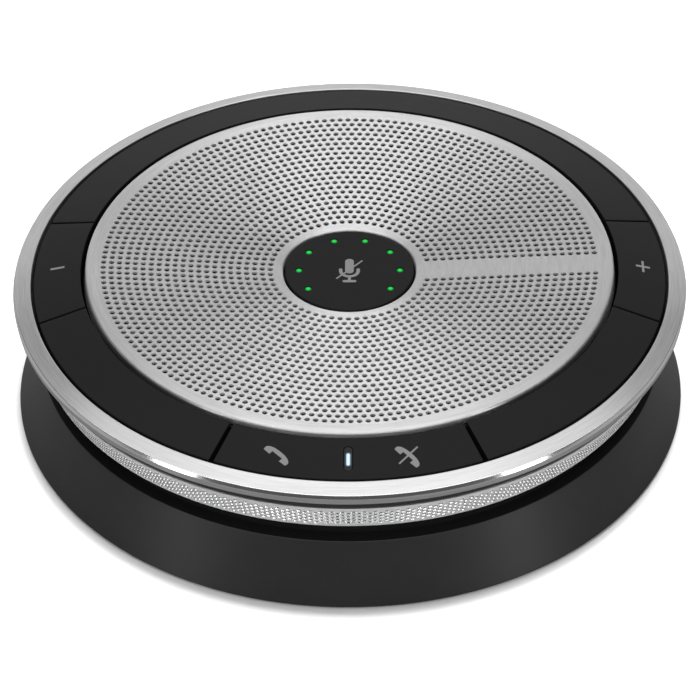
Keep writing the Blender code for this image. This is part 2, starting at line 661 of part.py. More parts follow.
def grille_cloth():
    drop = SHEET + FIT_GAP
    inner_z, outer_z = grille_z(CLOTH_INNER_R) - drop, grille_z(CLOTH_OUTER_R) - drop
    outline = [
        (CLOTH_INNER_R, inner_z), (CLOTH_OUTER_R, outer_z),
        (CLOTH_OUTER_R, outer_z - CLOTH_THICK), (CLOTH_INNER_R, inner_z - CLOTH_THICK),
    ]
    add_object("grille_cloth", turned(outline, INNER_SEGMENTS), "acoustic_cloth")


def mute_button():
    plate_under = MUTE_TOP_Z - MUTE_PLATE
    flange_top = GRILLE_COLLAR_Z - FIT_GAP
    flange_under = flange_top - MUTE_FLANGE_THICK
    outline = [
        (0, MUTE_TOP_Z), (MUTE_R - MUTE_EDGE, MUTE_TOP_Z), (MUTE_R, MUTE_TOP_Z - MUTE_EDGE),
        (MUTE_R, flange_top), (MUTE_FLANGE_R, flange_top), (MUTE_FLANGE_R, flange_under),
        (MUTE_INNER_R, flange_under), (MUTE_INNER_R, plate_under), (MUTE_STEM_R, plate_under),
        (MUTE_STEM_R, MUTE_STEM_Z), (0, MUTE_STEM_Z),
    ]
    origin = (0, 0, plate_under)
    button = add_object("mute_button", turned(outline, SPEAKER_SEGMENTS), "satin_black", origin)
    leds = ring_positions(LED_R, LED_ANGLES)
    cut(button, cylinders(leds, LED_HOLE_R, plate_under - THROUGH, MUTE_TOP_Z + THROUGH))
    ring = [(GUIDE_INNER_R, GUIDE_TOP_Z), (GUIDE_OUTER_R, GUIDE_TOP_Z), (GUIDE_OUTER_R, GUIDE_LOW_Z),
            (GUIDE_INNER_R, GUIDE_LOW_Z)]
    guide = add_object("mute_light_guide", turned(ring, SPEAKER_SEGMENTS), "green_light", origin, button)
    pip_low, pip_top = (GUIDE_LOW_Z + GUIDE_TOP_Z) / 2, MUTE_TOP_Z - 0.02
    unite(guide, cylinders(leds, LED_PIP_R, pip_low, pip_top))


def mute_board():
    low = BRIDGE_TOP_Z + FIT_GAP
    board_r, top = 10.0, low + 0.8
    outline = [(0, top), (board_r, top), (board_r, low), (0, low)]
    add_object("mute_board", turned(outline, SMALL_SEGMENTS), "circuit_board")
    base = top + FIT_GAP
    can_low, can_high = (-SWITCH_HALF, -SWITCH_HALF, base), (SWITCH_HALF, SWITCH_HALF, base + 0.5)
    add_object("mute_switch", block(can_low, can_high), "plated_steel")


# ---- speaker: each section is drawn point by point as (radius, height) -----------------------------------
def speaker_outer():
    flange_top = SPEAKER_FLANGE_Z + 1.0
    screws = ring_positions(SPEAKER_SCREW_R, SPEAKER_SCREW_ANGLES)
    frame_outline = [
        (SPEAKER_R, flange_top), (SPEAKER_R, SPEAKER_FLANGE_Z), (33.5, SPEAKER_FLANGE_Z), (21.0, 9.3),
        (13.0, 9.3), (13.0, 10.3), (20.5, 10.3), (32.0, 17.0), (32.0, flange_top),
    ]
    frame = add_object("speaker_frame", turned(frame_outline, SPEAKER_SEGMENTS), "plated_steel")
    cut(frame, cylinders(screws, SCREW_HOLE_R, SPEAKER_FLANGE_Z - THROUGH, flange_top + THROUGH))
    low = flange_top + FIT_GAP
    gasket_inner_r, gasket_top = 33.8, low + 0.5
    gasket_outline = [(gasket_inner_r, gasket_top), (SPEAKER_R, gasket_top), (SPEAKER_R, low),
                      (gasket_inner_r, low)]
    gasket = add_object("speaker_gasket", turned(gasket_outline, SPEAKER_SEGMENTS), "rubber")
    cut(gasket, cylinders(screws, SCREW_HOLE_R, low - THROUGH, gasket_top + THROUGH))
    roll = [
        (33.2, 18.5), (33.2, 18.1), (31.6, 18.1), (30.6, 16.9), (28.8, 16.9), (27.8, 17.5),
        (26.2, 17.5), (26.2, 17.9), (28.0, 17.9), (29.0, 17.3), (30.3, 17.3), (31.3, 18.5),
    ]
    add_object("speaker_surround", turned(roll, SPEAKER_SEGMENTS), "rubber")


def speaker_cone():
    cone = [(25.9, 17.9), (25.9, 17.5), (10.9, 12.0), (10.9, 12.5)]
    add_object("speaker_cone", turned(cone, SPEAKER_SEGMENTS), "paper_cone")
    cap = [(0, 14.8), (5.5, 14.4), (9.0, 13.4), (10.5, 12.5), (9.9, 12.5), (8.7, 13.1), (5.3, 14.0),
           (0, 14.4)]
    add_object("speaker_dust_cap", turned(cap, SMALL_SEGMENTS), "paper_cone")
    coil = [(9.6, 12.2), (10.2, 12.2), (10.2, 6.6), (9.6, 6.6)]
    add_object("voice_coil", turned(coil, SMALL_SEGMENTS), "copper")
    damper = [(10.6, 11.0), (19.8, 11.0), (19.8, 10.6), (10.6, 10.6)]
    add_object("speaker_spider", turned(damper, SMALL_SEGMENTS), "acoustic_cloth")


def speaker_motor():
    plate = [(10.7, 9.0), (16.5, 9.0), (16.5, 8.0), (10.7, 8.0)]
    add_object("speaker_top_plate", turned(plate, SMALL_SEGMENTS), "plated_steel")
    magnet = [(11.2, 7.7), (17.2, 7.7), (17.2, 6.2), (11.2, 6.2)]
    add_object("speaker_magnet", turned(magnet, SMALL_SEGMENTS), "ferrite")
    yoke = [(0, 9.0), (9.1, 9.0), (9.1, 5.9), (17.2, 5.9), (17.2, 4.9), (0, 4.9)]
    add_object("speaker_yoke", turned(yoke, SMALL_SEGMENTS), "plated_steel")


KEY_LAYOUT = (
    (VOLUME_UP, HOOK_ANGLE, 0),
    (VOLUME_DOWN, HOOK_ANGLE, 0),
    (CALL, CALL_HOOK_ANGLE, CALL_PLUNGER_ANGLE),
)

clear_scene()
MATERIALS = make_materials()
ROOT = bpy.data.objects.new("speakerphone", None)
bpy.context.scene.collection.objects.link(ROOT)

lower_housing()
cable_gland()
bottom_cover()
rubber_foot()
main_board()
fasteners()
upper_housing()
side_band()
outer_rim()
control_ring()
keys()
status_light()
key_board()
microphone()
speaker_grille()
grille_cloth()
mute_button()
mute_board()
speaker_outer()
speaker_cone()
speaker_motor()
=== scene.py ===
"""Looks for the conference speakerphone: fine meshes, materials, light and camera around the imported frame.

Lengths are in millimetres and angles in degrees, counter-clockwise from +X; the user sits at 270 degrees.
Meshes are made in millimetres and add_piece scales them to the frame's metres. Overall sizes are read
from the frame's boxes, and the details below them are named values.
"""

import json
import math

import bmesh
import bpy
from mathutils import Matrix, Vector


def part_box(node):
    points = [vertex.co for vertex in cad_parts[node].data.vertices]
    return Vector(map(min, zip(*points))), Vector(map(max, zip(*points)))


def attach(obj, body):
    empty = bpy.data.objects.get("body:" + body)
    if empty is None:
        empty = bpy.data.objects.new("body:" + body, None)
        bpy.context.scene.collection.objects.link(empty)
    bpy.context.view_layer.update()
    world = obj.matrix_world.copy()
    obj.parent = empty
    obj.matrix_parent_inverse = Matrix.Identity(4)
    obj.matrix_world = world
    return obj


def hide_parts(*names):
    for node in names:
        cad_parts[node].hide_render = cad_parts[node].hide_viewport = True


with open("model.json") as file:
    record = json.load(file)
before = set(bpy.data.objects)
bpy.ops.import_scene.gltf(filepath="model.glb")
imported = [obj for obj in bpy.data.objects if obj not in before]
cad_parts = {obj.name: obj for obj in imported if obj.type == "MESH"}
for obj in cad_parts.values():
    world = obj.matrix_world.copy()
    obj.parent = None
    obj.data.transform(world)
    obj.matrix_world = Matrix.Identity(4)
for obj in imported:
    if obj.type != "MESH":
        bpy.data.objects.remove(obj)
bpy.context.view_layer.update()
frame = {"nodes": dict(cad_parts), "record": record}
MM = 0.001


def box_mm(node):
    low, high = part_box(node)
    return low / MM, high / MM


# ---- sizes read from the frame -----------------
BASE_LOW, BASE_HIGH = box_mm("lower_housing")
COVER_HIGH = box_mm("bottom_cover")[1]
FOOT_LOW, FOOT_HIGH = box_mm("rubber_foot")
BAND_LOW, BAND_HIGH = box_mm("side_band")
RIM_LOW, RIM_HIGH = box_mm("outer_rim")
RING_LOW, RING_HIGH = box_mm("control_ring")
HOUSING_LOW, HOUSING_HIGH = box_mm("upper_housing")
GRILLE_LOW, GRILLE_HIGH = box_mm("speaker_grille")
CLOTH_HIGH = box_mm("grille_cloth")[1]
MUTE_LOW, MUTE_HIGH = box_mm("mute_button")
GUIDE_HIGH = box_mm("mute_light_guide")[1]
PIPE_LOW = box_mm("status_light_pipe")[0]
GLAND_LOW, GLAND_HIGH = box_mm("cable_gland")

# ---- details -----------------------------------
FINE_SEGMENTS = 320         # sides of the large turned pieces
SMALL_SEGMENTS = 96
FILLET_STEP = 18.0          # turn of each step round a fillet
SHARP_ANGLE = 32.0
BEVEL_WIDTH = 0.12
FIT_GAP = 0.3

SHOULDER_R, SHOULDER_Z = 51.2, 10.6     # top of the flare
NECK_R, NECK_Z = 49.3, 11.0
NECK_WALL = 1.4
BASE_WALL = 1.7
DECK_THICK = 1.6
DECK_HOLE_R = 40.5
POCKET_HALF_WIDTH = 5.0     # pocket round the cable gland
POCKET_LOW_Z = 3.5
POCKET_HIGH_Z = 9.7
POCKET_FACE_Y = 49.5
BEYOND_BASE = 60.0          # where cuts through the rear wall start

BAND_BOTTOM_R = 51.3
BAND_SHEET = 0.22
BAND_COLUMNS = 396
BAND_ROWS = 4
BAND_ROW_PITCH = 0.93
BAND_HOLE_R = 0.40
BAND_HOLE_TAPER = 0.10
BAND_TOP_MARGIN = 1.27

RIM_INNER_R = 52.0
RIM_SHOULDER_R = 54.68
RIM_SHOULDER_Z = 23.1
RIM_SIDE_Z = 22.5
RIM_LIP = 0.2               # how far the rim stops above its CAD node's lower edge

RING_INNER_R = 43.8
RING_OUTER_Z = 23.65
RECESS_Z = 21.6
KEY_BOTTOM_Z = 22.3
KEY_R = 47.7
SEAM = 0.4
CALL_SEAM = 0.7
SWEEP_STEP = 1.2            # degrees between the rows of a swept piece
POST_R = 1.1
HOOK_R, HOOK_THICK = 1.8, 0.5
# angle and depth of the hooks, angles of the plungers, and their gap to the switches
VOLUME_POSTS = (9.0, 0.4, (0,), 0.55)
CALL_POSTS = (23.0, 0.65, (-14.5, 14.5), 0.35)

SLOT_HALF_WIDTH = 0.62
SLOT_HALF_LENGTH = 2.2
SLOT_CLEARANCE = 0.12
WINDOW_SUNK = 0.06          # how far the window lies below the key's top
GLOW_R = 47.8               # middle of the lit line in the status window
GLOW_HALF_LENGTH = 0.85
GLOW_HALF_WIDTH = 0.22

GRILLE_HOLE_R = 10.85
GRILLE_SHEET = 0.36
GRILLE_ROLL = 0.46          # radius of the rolled outer edge
GRILLE_PITCH = 1.294        # radial distance between rings of holes
GRILLE_FIRST_RING = 10
GRILLE_LAST_RING = 31
GRILLE_TURN = -0.42         # the pattern's rotation
GRILLE_PERFORATION_R = 0.46
GRILLE_HOLE_TAPER = 0.06
HOLE_SIDES = 12
CLOTH_THICK = 0.1

MUTE_R = 10.55
LED_R = 8.25
LED_STEP = 36
LED_COUNT = 8
LED_PIP_R = 0.56
PIP_CROWN = ((0, 0), (0.25, 0.01), (0.4, 0.03), (LED_PIP_R, 0.08))  # radius and drop of each light's top

ICON_RAISED = 0.03

LAMP_DISTANCE = 1.6         # metres, like the lamps' sizes
SOFTBOXES = (               # name, azimuth, elevation, width, height, radiance
    ("back_low", 90, 9, 2.4, 0.5, 1.1),
    ("back_middle", 90, 30, 2.4, 0.5, 0.76),
    ("back_high", 90, 52, 1.7, 0.6, 0.86),
    ("overhead_back", 90, 70, 2.0, 0.6, 1.8),
    ("overhead", 90, 89, 1.4, 0.5, 2.2),
    ("front_high", 270, 55, 2.4, 0.6, 2.1),
    ("front_middle", 270, 30, 2.0, 0.5, 1.4),
    ("front_left_strip", 217, 8, 0.35, 0.5, 4.0),
    ("front_right_strip", 323, 8, 0.35, 0.5, 5.0),
    ("front_left_tall", 217, 35, 0.35, 0.7, 0.8),
    ("front_right_tall", 323, 35, 0.35, 0.7, 1.1),
)


# ---- mesh helpers ------------------------------
def polar(radius, degrees, z=0.0):
    angle = math.radians(degrees)
    return Vector((radius * math.cos(angle), radius * math.sin(angle), z))


def rounded(corners):
    """A closed outline whose corners (radius, height, fillet) are replaced by arcs."""
    points = []
    for i, corner in enumerate(corners):
        here = Vector(corner[:2])
        if len(corner) == 2:
            points.append(tuple(here))
            continue
        fillet = corner[2]
        back = (Vector(corners[i - 1][:2]) - here).normalized()
        onward = (Vector(corners[(i + 1) % len(corners)][:2]) - here).normalized()
        half = back.angle(onward) / 2
        centre = here + (back + onward).normalized() * fillet / math.sin(half)
        start = here + back * fillet / math.tan(half) - centre
        turn = math.copysign(math.pi - 2 * half, onward.x * back.y - onward.y * back.x)
        steps = max(2, math.ceil(math.degrees(abs(turn)) / FILLET_STEP))
        for step in range(steps + 1):
            points.append(tuple(centre + Matrix.Rotation(turn * step / steps, 2) @ start))
    return points


def quads_between(bm, first, second, closed=True):
    count = max(len(first), len(second))
    for i in range(count if closed else count - 1):
        corners = [first[i % len(first)], first[(i + 1) % len(first)],
                   second[(i + 1) % len(second)], second[i % len(second)]]
        bm.faces.new(list(dict.fromkeys(corners)))


def turned(profile, segments=FINE_SEGMENTS):
    """A solid of revolution about Z from a closed outline of (radius, height) points."""
    bm = bmesh.new()
    loops = []
    for radius, z in profile:
        count = segments if radius > 0 else 1
        loops.append([bm.verts.new(polar(radius, 360 * i / segments, z)) for i in range(count)])
    for i, loop in enumerate(loops):
        following = loops[(i + 1) % len(loops)]
        if len(loop) > 1 or len(following) > 1:
            quads_between(bm, loop, following)
    bmesh.ops.recalc_face_normals(bm, faces=bm.faces)
    return bm


def swept(profile, start, end):
    """A closed outline swept about Z through part of a turn, the edges of its ends marked for a bevel."""
    bm = bmesh.new()
    weight = bm.edges.layers.float.new("bevel_weight_edge")
    steps = math.ceil((end - start) / SWEEP_STEP)
    rows = []
    for i in range(steps + 1):
        angle = start + (end - start) * i / steps
        rows.append([bm.verts.new(polar(radius, angle, z)) for radius, z in profile])
    for near, far in zip(rows, rows[1:]):
        quads_between(bm, near, far)
    for row in (rows[0], rows[-1]):
        for edge in bm.faces.new(row).edges:
            edge[weight] = 1.0
    bmesh.ops.recalc_face_normals(bm, faces=bm.faces)
    return bm


def prism(points, low, high):
    """An upright prism on a flat outline; low and high are heights, or functions of a point."""
    bm = bmesh.new()
    loops = []
    for level in (low, high):
        rise = level if callable(level) else lambda x, y, level=level: level
        loops.append([bm.verts.new((x, y, rise(x, y))) for x, y in points])
    quads_between(bm, *loops)
    bm.faces.new(loops[0])
    bm.faces.new(loops[1])
    bmesh.ops.recalc_face_normals(bm, faces=bm.faces)
    return bm


def circle(radius, centre=(0.0, 0.0), steps=24, start=0.0):
    angles = [start + math.tau * i / steps for i in range(steps)]
    return [(centre[0] + radius * math.cos(a), centre[1] + radius * math.sin(a)) for a in angles]


def rectangle(left, right, near, far):
    return [(left, near), (right, near), (right, far), (left, far)]


def capsule(first, second, half_width, steps=8):
    """The outline of a bar with round ends."""
    first, second = Vector(first), Vector(second)
    side = (second - first).normalized().orthogonal() * half_width
    points = []
    for centre, start in ((first, side), (second, -side)):
        for i in range(steps + 1):
            points.append(tuple(centre + Matrix.Rotation(math.pi * i / steps, 2) @ start))
    return points


def new_mesh(name, bm):
    """The bmesh as a mesh; the bmesh itself is freed."""
    mesh = bpy.data.meshes.new(name)
    bm.to_mesh(mesh)
    bm.free()
    return mesh


def new_object(name, data):
    obj = bpy.data.objects.new(name, data)
    bpy.context.scene.collection.objects.link(obj)
    return obj


def joined(parts):
    """Puts several bmeshes into one."""
    whole = bmesh.new()
    for part in parts:
        mesh = new_mesh("work", part)
        whole.from_mesh(mesh)
        bpy.data.meshes.remove(mesh)
    return whole


def work_object(bm):
    mesh = new_mesh("work", bm)
    for _ in range(2):      # slots, so that modifiers keep the faces' material numbers
        mesh.materials.append(None)
    return new_object("work", mesh)


def discard(obj):
    mesh = obj.data
    bpy.data.objects.remove(obj)
    bpy.data.meshes.remove(mesh)


def modified(bm, kind, **settings):
    """The bmesh as it comes out of one modifier."""
    obj = work_object(bm)
    modifier = obj.modifiers.new("work", kind)
    for name, value in settings.items():
        setattr(modifier, name, value)
    graph = bpy.context.evaluated_depsgraph_get()
    mesh = bpy.data.meshes.new_from_object(obj.evaluated_get(graph))
    made = bmesh.new()
    made.from_mesh(mesh)
    bpy.data.meshes.remove(mesh)
    discard(obj)
    return made


def combined(bm, other, operation):
    helper = work_object(other)
    made = modified(bm, "BOOLEAN", object=helper, operation=operation, solver="EXACT")
    discard(helper)
    return made


def bevelled(bm, width=BEVEL_WIDTH):
    return modified(bm, "BEVEL", width=width, segments=2, limit_method="WEIGHT")


def add_piece(name, bm, materials, body="base", replaces=()):
    """Turns a bmesh in millimetres into a piece that rides on a body."""
    bmesh.ops.scale(bm, verts=bm.verts, vec=(MM, MM, MM))
    mesh = new_mesh(name, bm)
    for material in materials:
        mesh.materials.append(material)
    mesh.shade_smooth()
    mesh.set_sharp_from_angle(angle=math.radians(SHARP_ANGLE))
    obj = new_object(name, mesh)
    flat_faces_win = obj.modifiers.new("weighted_normals", "WEIGHTED_NORMAL")
    flat_faces_win.keep_sharp = True
    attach(obj, body)
    if replaces:
        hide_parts(*replaces)


# ---- node helpers ------------------------------
def add_node(tree, kind, inputs=None, **settings):
    made = tree.nodes.new(kind)
    for name, value in settings.items():
        setattr(made, name, value)
    for socket, value in (inputs or {}).items():
        if isinstance(value, bpy.types.NodeSocket):
            tree.links.new(value, made.inputs[socket])
        else:
            made.inputs[socket].default_value = value
    return made


def calc(tree, operation, first, second=0.0, third=0.0):
    values = {0: first, 1: second, 2: third}
    return add_node(tree, "ShaderNodeMath", values, operation=operation).outputs[0]


def hypotenuse(tree, first, second):
    squares = [calc(tree, "MULTIPLY", value, value) for value in (first, second)]
    return calc(tree, "SQRT", calc(tree, "ADD", *squares))


def position(tree):
    """The object's own coordinates, in millimetres."""
    coordinates = add_node(tree, "ShaderNodeTexCoord").outputs["Object"]
    scaled = add_node(tree, "ShaderNodeVectorMath", {0: coordinates, 3: 1 / MM}, operation="SCALE")
    return scaled.outputs[0]


def xyz(tree, vector):
    return add_node(tree, "ShaderNodeSeparateXYZ", {0: vector}).outputs


def noise(tree, vector, scale, detail=2.0, roughness=0.5):
    node = add_node(tree, "ShaderNodeTexNoise", {
        "Vector": vector, "Scale": scale, "Detail": detail, "Roughness": roughness})
    return node.outputs["Fac"]


def mapped(tree, value, low, high, from_low=0.0, from_high=1.0):
    node = add_node(tree, "ShaderNodeMapRange", {
        "Value": value, "From Min": from_low, "From Max": from_high, "To Min": low, "To Max": high})
    return node.outputs["Result"]


def ramp(tree, factor, stops):
    node = add_node(tree, "ShaderNodeValToRGB", {"Fac": factor})
    elements = node.color_ramp.elements
    while len(elements) < len(stops):
        elements.new(0.5)
    for element, (place, colour) in zip(elements, stops):
        element.position = place
        element.color = (*colour, 1.0)
    return node.outputs["Color"]


def bump(tree, height, distance, strength=1.0):
    """A normal from a height that runs from 0 to 1 over the given millimetres."""
    inputs = {"Height": height, "Distance": distance * MM, "Strength": strength}
    return add_node(tree, "ShaderNodeBump", inputs).outputs["Normal"]


def new_material(name, colour, roughness, metallic=0.0, **sockets):
    material = bpy.data.materials.new(name)
    material.use_nodes = True
    tree = material.node_tree
    shader = tree.nodes["Principled BSDF"]
    shader.inputs["Base Color"].default_value = (*colour, 1.0)
    shader.inputs["Roughness"].default_value = roughness
    shader.inputs["Metallic"].default_value = metallic
    for socket, value in sockets.items():
        shader.inputs[socket.replace("_", " ")].default_value = value
    return material, tree, shader


def feed(tree, shader, **sources):
    for socket, source in sources.items():
        tree.links.new(source, shader.inputs[socket.replace("_", " ")])


def grey(value):
    return (value, value, value)


# ---- materials ---------------------------------
def brush_lines(tree, around, across):
    """Coordinates that change fast across the brushing and slowly along it; the brushing runs round Z."""
    x, y, z = xyz(tree, position(tree))
    radius = hypotenuse(tree, x, y)
    turn = [calc(tree, "MULTIPLY", calc(tree, "DIVIDE", part, radius), around) for part in (x, y)]
    depth = calc(tree, "MULTIPLY", calc(tree, "ADD", radius, z), across)
    return add_node(tree, "ShaderNodeCombineXYZ", {0: turn[0], 1: turn[1], 2: depth}).outputs[0]


def brushed_steel(name, colour, roughness, anisotropy, contrast, metallic=1.0):
    material, tree, shader = new_material(
        name, grey(colour), roughness, metallic, Anisotropic=anisotropy, Anisotropic_Rotation=0.25)
    fine = noise(tree, brush_lines(tree, 9.0, 5.0), 1.0, 4.0, 0.65)
    broad = noise(tree, brush_lines(tree, 3.0, 1.2), 1.0, 3.0, 0.6)
    both = calc(tree, "MULTIPLY_ADD", fine, 0.6, calc(tree, "MULTIPLY", broad, 0.4))
    tone = ramp(tree, both, [(0.3, grey(colour - contrast)), (0.7, grey(colour + contrast))])
    tangent = add_node(tree, "ShaderNodeTangent", direction_type="RADIAL", axis="Z").outputs[0]
    feed(tree, shader, Base_Color=tone, Tangent=tangent,
         Roughness=mapped(tree, both, roughness - 0.06, roughness + 0.06, 0.3, 0.7),
         Normal=bump(tree, fine, 0.004, 0.6))
    return material


def cut_steel(name, colour, roughness):
    material, tree, shader = new_material(name, grey(colour), roughness, 1.0)
    grain = noise(tree, position(tree), 6.0, 2.0)
    feed(tree, shader, Roughness=mapped(tree, grain, roughness - 0.03, roughness + 0.03))
    return material


def moulded(name, colour, roughness, grain, depth, mottle=0.15, **sockets):
    """Moulded plastic with a fine spark-eroded grain; grain is grains per millimetre."""
    material, tree, shader = new_material(name, grey(colour), roughness, **sockets)
    place = position(tree)
    fine = noise(tree, place, grain, 3.0, 0.6)
    broad = noise(tree, place, 0.12, 3.0, 0.55)
    tone = ramp(tree, calc(tree, "MULTIPLY_ADD", fine, 0.6, calc(tree, "MULTIPLY", broad, 0.4)),
                [(0.3, grey(colour * (1 - mottle))), (0.7, grey(colour * (1 + mottle)))])
    feed(tree, shader, Base_Color=tone, Normal=bump(tree, fine, depth),
         Roughness=mapped(tree, fine, roughness - 0.05, roughness + 0.05, 0.3, 0.7))
    return material


def led_green():
    """Each pip is bright in the middle and dark green at its edge."""
    material, tree, shader = new_material(
        "led_green", (0.0, 0.05, 0.01), 0.3, Specular_IOR_Level=0.1, Emission_Strength=1.0)
    x, y, _ = xyz(tree, position(tree))
    turn = calc(tree, "DIVIDE", calc(tree, "ARCTAN2", y, x), math.radians(LED_STEP))
    across = calc(tree, "SUBTRACT", turn, calc(tree, "ROUND", turn))
    across = calc(tree, "MULTIPLY", across, math.radians(LED_STEP) * LED_R)
    along = calc(tree, "SUBTRACT", hypotenuse(tree, x, y), LED_R)
    glow = ramp(tree, hypotenuse(tree, across, along), [
        (0.0, (0.020, 0.88, 0.095)), (0.26, (0.004, 0.62, 0.055)), (0.52, (0.0, 0.05, 0.006))])
    feed(tree, shader, Emission_Color=glow)
    return material


def status_window():
    """A smoked window with a white-blue line lit inside it."""
    material, tree, shader = new_material(
        "status_window", grey(0.008), 0.35, Specular_IOR_Level=0.15, Emission_Strength=1.0)
    x, y, _ = xyz(tree, position(tree))
    along = calc(tree, "ABSOLUTE", calc(tree, "ADD", y, GLOW_R))
    beyond = calc(tree, "MAXIMUM", calc(tree, "SUBTRACT", along, GLOW_HALF_LENGTH), 0.0)
    glow = ramp(tree, hypotenuse(tree, x, beyond), [
        (0.0, (0.88, 0.97, 1.0)), (GLOW_HALF_WIDTH, (0.62, 0.85, 1.0)),
        (GLOW_HALF_WIDTH + 0.12, (0.05, 0.10, 0.13)), (0.58, grey(0.006))])
    feed(tree, shader, Emission_Color=glow)
    return material


def woven(name, colour, pitch, roughness=0.9):
    """Plain-weave cloth; pitch is the distance between threads."""
    material, tree, shader = new_material(name, grey(colour), roughness, Specular_IOR_Level=0.2)
    inputs = {"Vector": position(tree), "Scale": 0.314 / pitch, "Distortion": 0.4}
    waves = [add_node(tree, "ShaderNodeTexWave", inputs, bands_direction=axis) for axis in "XY"]
    weave = calc(tree, "MULTIPLY", *(wave.outputs["Fac"] for wave in waves))
    tone = ramp(tree, weave, [(0.0, grey(colour * 0.4)), (1.0, grey(colour * 1.6))])
    feed(tree, shader, Base_Color=tone, Normal=bump(tree, weave, 0.05))
    return material


def circuit_board():
    material, tree, shader = new_material("circuit_board", (0.008, 0.10, 0.04), 0.38)
    place = position(tree)
    tracks = add_node(tree, "ShaderNodeTexBrick", {
        "Vector": place, "Scale": 0.22, "Mortar Size": 0.05, "Color1": (0.006, 0.085, 0.034, 1),
        "Color2": (0.010, 0.120, 0.050, 1), "Mortar": (0.030, 0.200, 0.075, 1)}).outputs["Color"]
    grain = noise(tree, place, 3.0, 3.0)
    feed(tree, shader, Base_Color=tracks, Roughness=mapped(tree, grain, 0.30, 0.46),
         Normal=bump(tree, grain, 0.01))
    return material


def plain_metal(name, colour, roughness, grain=2.5):
    material, tree, shader = new_material(name, colour, roughness, 1.0)
    cloud = noise(tree, position(tree), grain, 4.0, 0.6)
    darker, paler = (tuple(part * share for part in colour) for share in (0.86, 1.1))
    tone = ramp(tree, cloud, [(0.3, darker), (0.7, paler)])
    feed(tree, shader, Base_Color=tone, Roughness=mapped(tree, cloud, roughness - 0.08, roughness + 0.08),
         Normal=bump(tree, cloud, 0.006))
    return material


def wound_copper():
    material, tree, shader = new_material("wound_copper", (0.70, 0.33, 0.18), 0.35, 1.0)
    turns = add_node(tree, "ShaderNodeTexWave", {"Vector": position(tree), "Scale": 1.6},
                     bands_direction="Z").outputs["Fac"]
    tone = ramp(tree, turns, [(0.0, (0.30, 0.11, 0.05)), (1.0, (0.80, 0.40, 0.22))])
    feed(tree, shader, Base_Color=tone, Normal=bump(tree, turns, 0.08))
    return material


def fibrous(name, colour, roughness):
    material, tree, shader = new_material(name, grey(colour), roughness)
    fibres = noise(tree, position(tree), 1.6, 6.0, 0.75)
    tone = ramp(tree, fibres, [(0.35, grey(colour * 0.6)), (0.65, grey(colour * 1.5))])
    feed(tree, shader, Base_Color=tone, Normal=bump(tree, fibres, 0.06))
    return material


def printed_grey():
    material, tree, shader = new_material("printed_symbol", grey(0.24), 0.5)
    speckle = noise(tree, position(tree), 12.0, 2.0)
    feed(tree, shader, Base_Color=ramp(tree, speckle, [(0.3, grey(0.225)), (0.7, grey(0.26))]))
    return material


STEEL = {
    "rim": brushed_steel("brushed_steel_rim", 0.55, 0.33, 0.85, 0.11),
    "grille": brushed_steel("brushed_steel_grille", 0.64, 0.40, 0.92, 0.11),
    "band": brushed_steel("brushed_steel_band", 0.86, 0.38, 0.40, 0.04, 0.7),
}
POLISHED_CUT = cut_steel("polished_cut", 0.88, 0.13)
SATIN_CUT = cut_steel("satin_cut", 0.95, 0.42)
RING_BLACK = moulded("satin_black", 0.0095, 0.44, 9.0, 0.005, 0.10, Specular_IOR_Level=0.10)
BASE_BLACK = moulded("soft_touch_black", 0.009, 0.40, 3.2, 0.008, 0.30)
HOUSING_BLACK = moulded("housing_black", 0.012, 0.5, 6.0, 0.008)
# The neck under the head gets a darker, duller black than the base: painted shade for the hollow beneath the
# band.
NECK_PAINTED_SHADE = moulded("neck_painted_shade_black", 0.006, 0.6, 6.0, 0.006, Specular_IOR_Level=0.14)
RUBBER = moulded("rubber", 0.014, 0.75, 5.0, 0.02, 0.2)
COMPONENT = moulded("component_black", 0.018, 0.42, 14.0, 0.004)
SYMBOL = printed_grey()
CLOTH = woven("acoustic_cloth", 0.006, 0.28)
CAD_FINISHES = {
    "circuit_board": circuit_board(),
    "component_black": COMPONENT,
    "plated_steel": plain_metal("plated_steel", grey(0.52), 0.30),
    "switch_metal": plain_metal("switch_metal", grey(0.66), 0.26, 6.0),
    "screw_steel": plain_metal("screw_steel", grey(0.45), 0.32, 5.0),
    "ferrite": fibrous("ferrite", 0.045, 0.6),
    "paper_cone": fibrous("paper_cone", 0.028, 0.85),
    "damper_cloth": woven("damper_cloth", 0.16, 0.5),
    "copper_winding": wound_copper(),
    "rubber": RUBBER,
    "housing_black": HOUSING_BLACK,
    "acoustic_cloth": CLOTH,
}


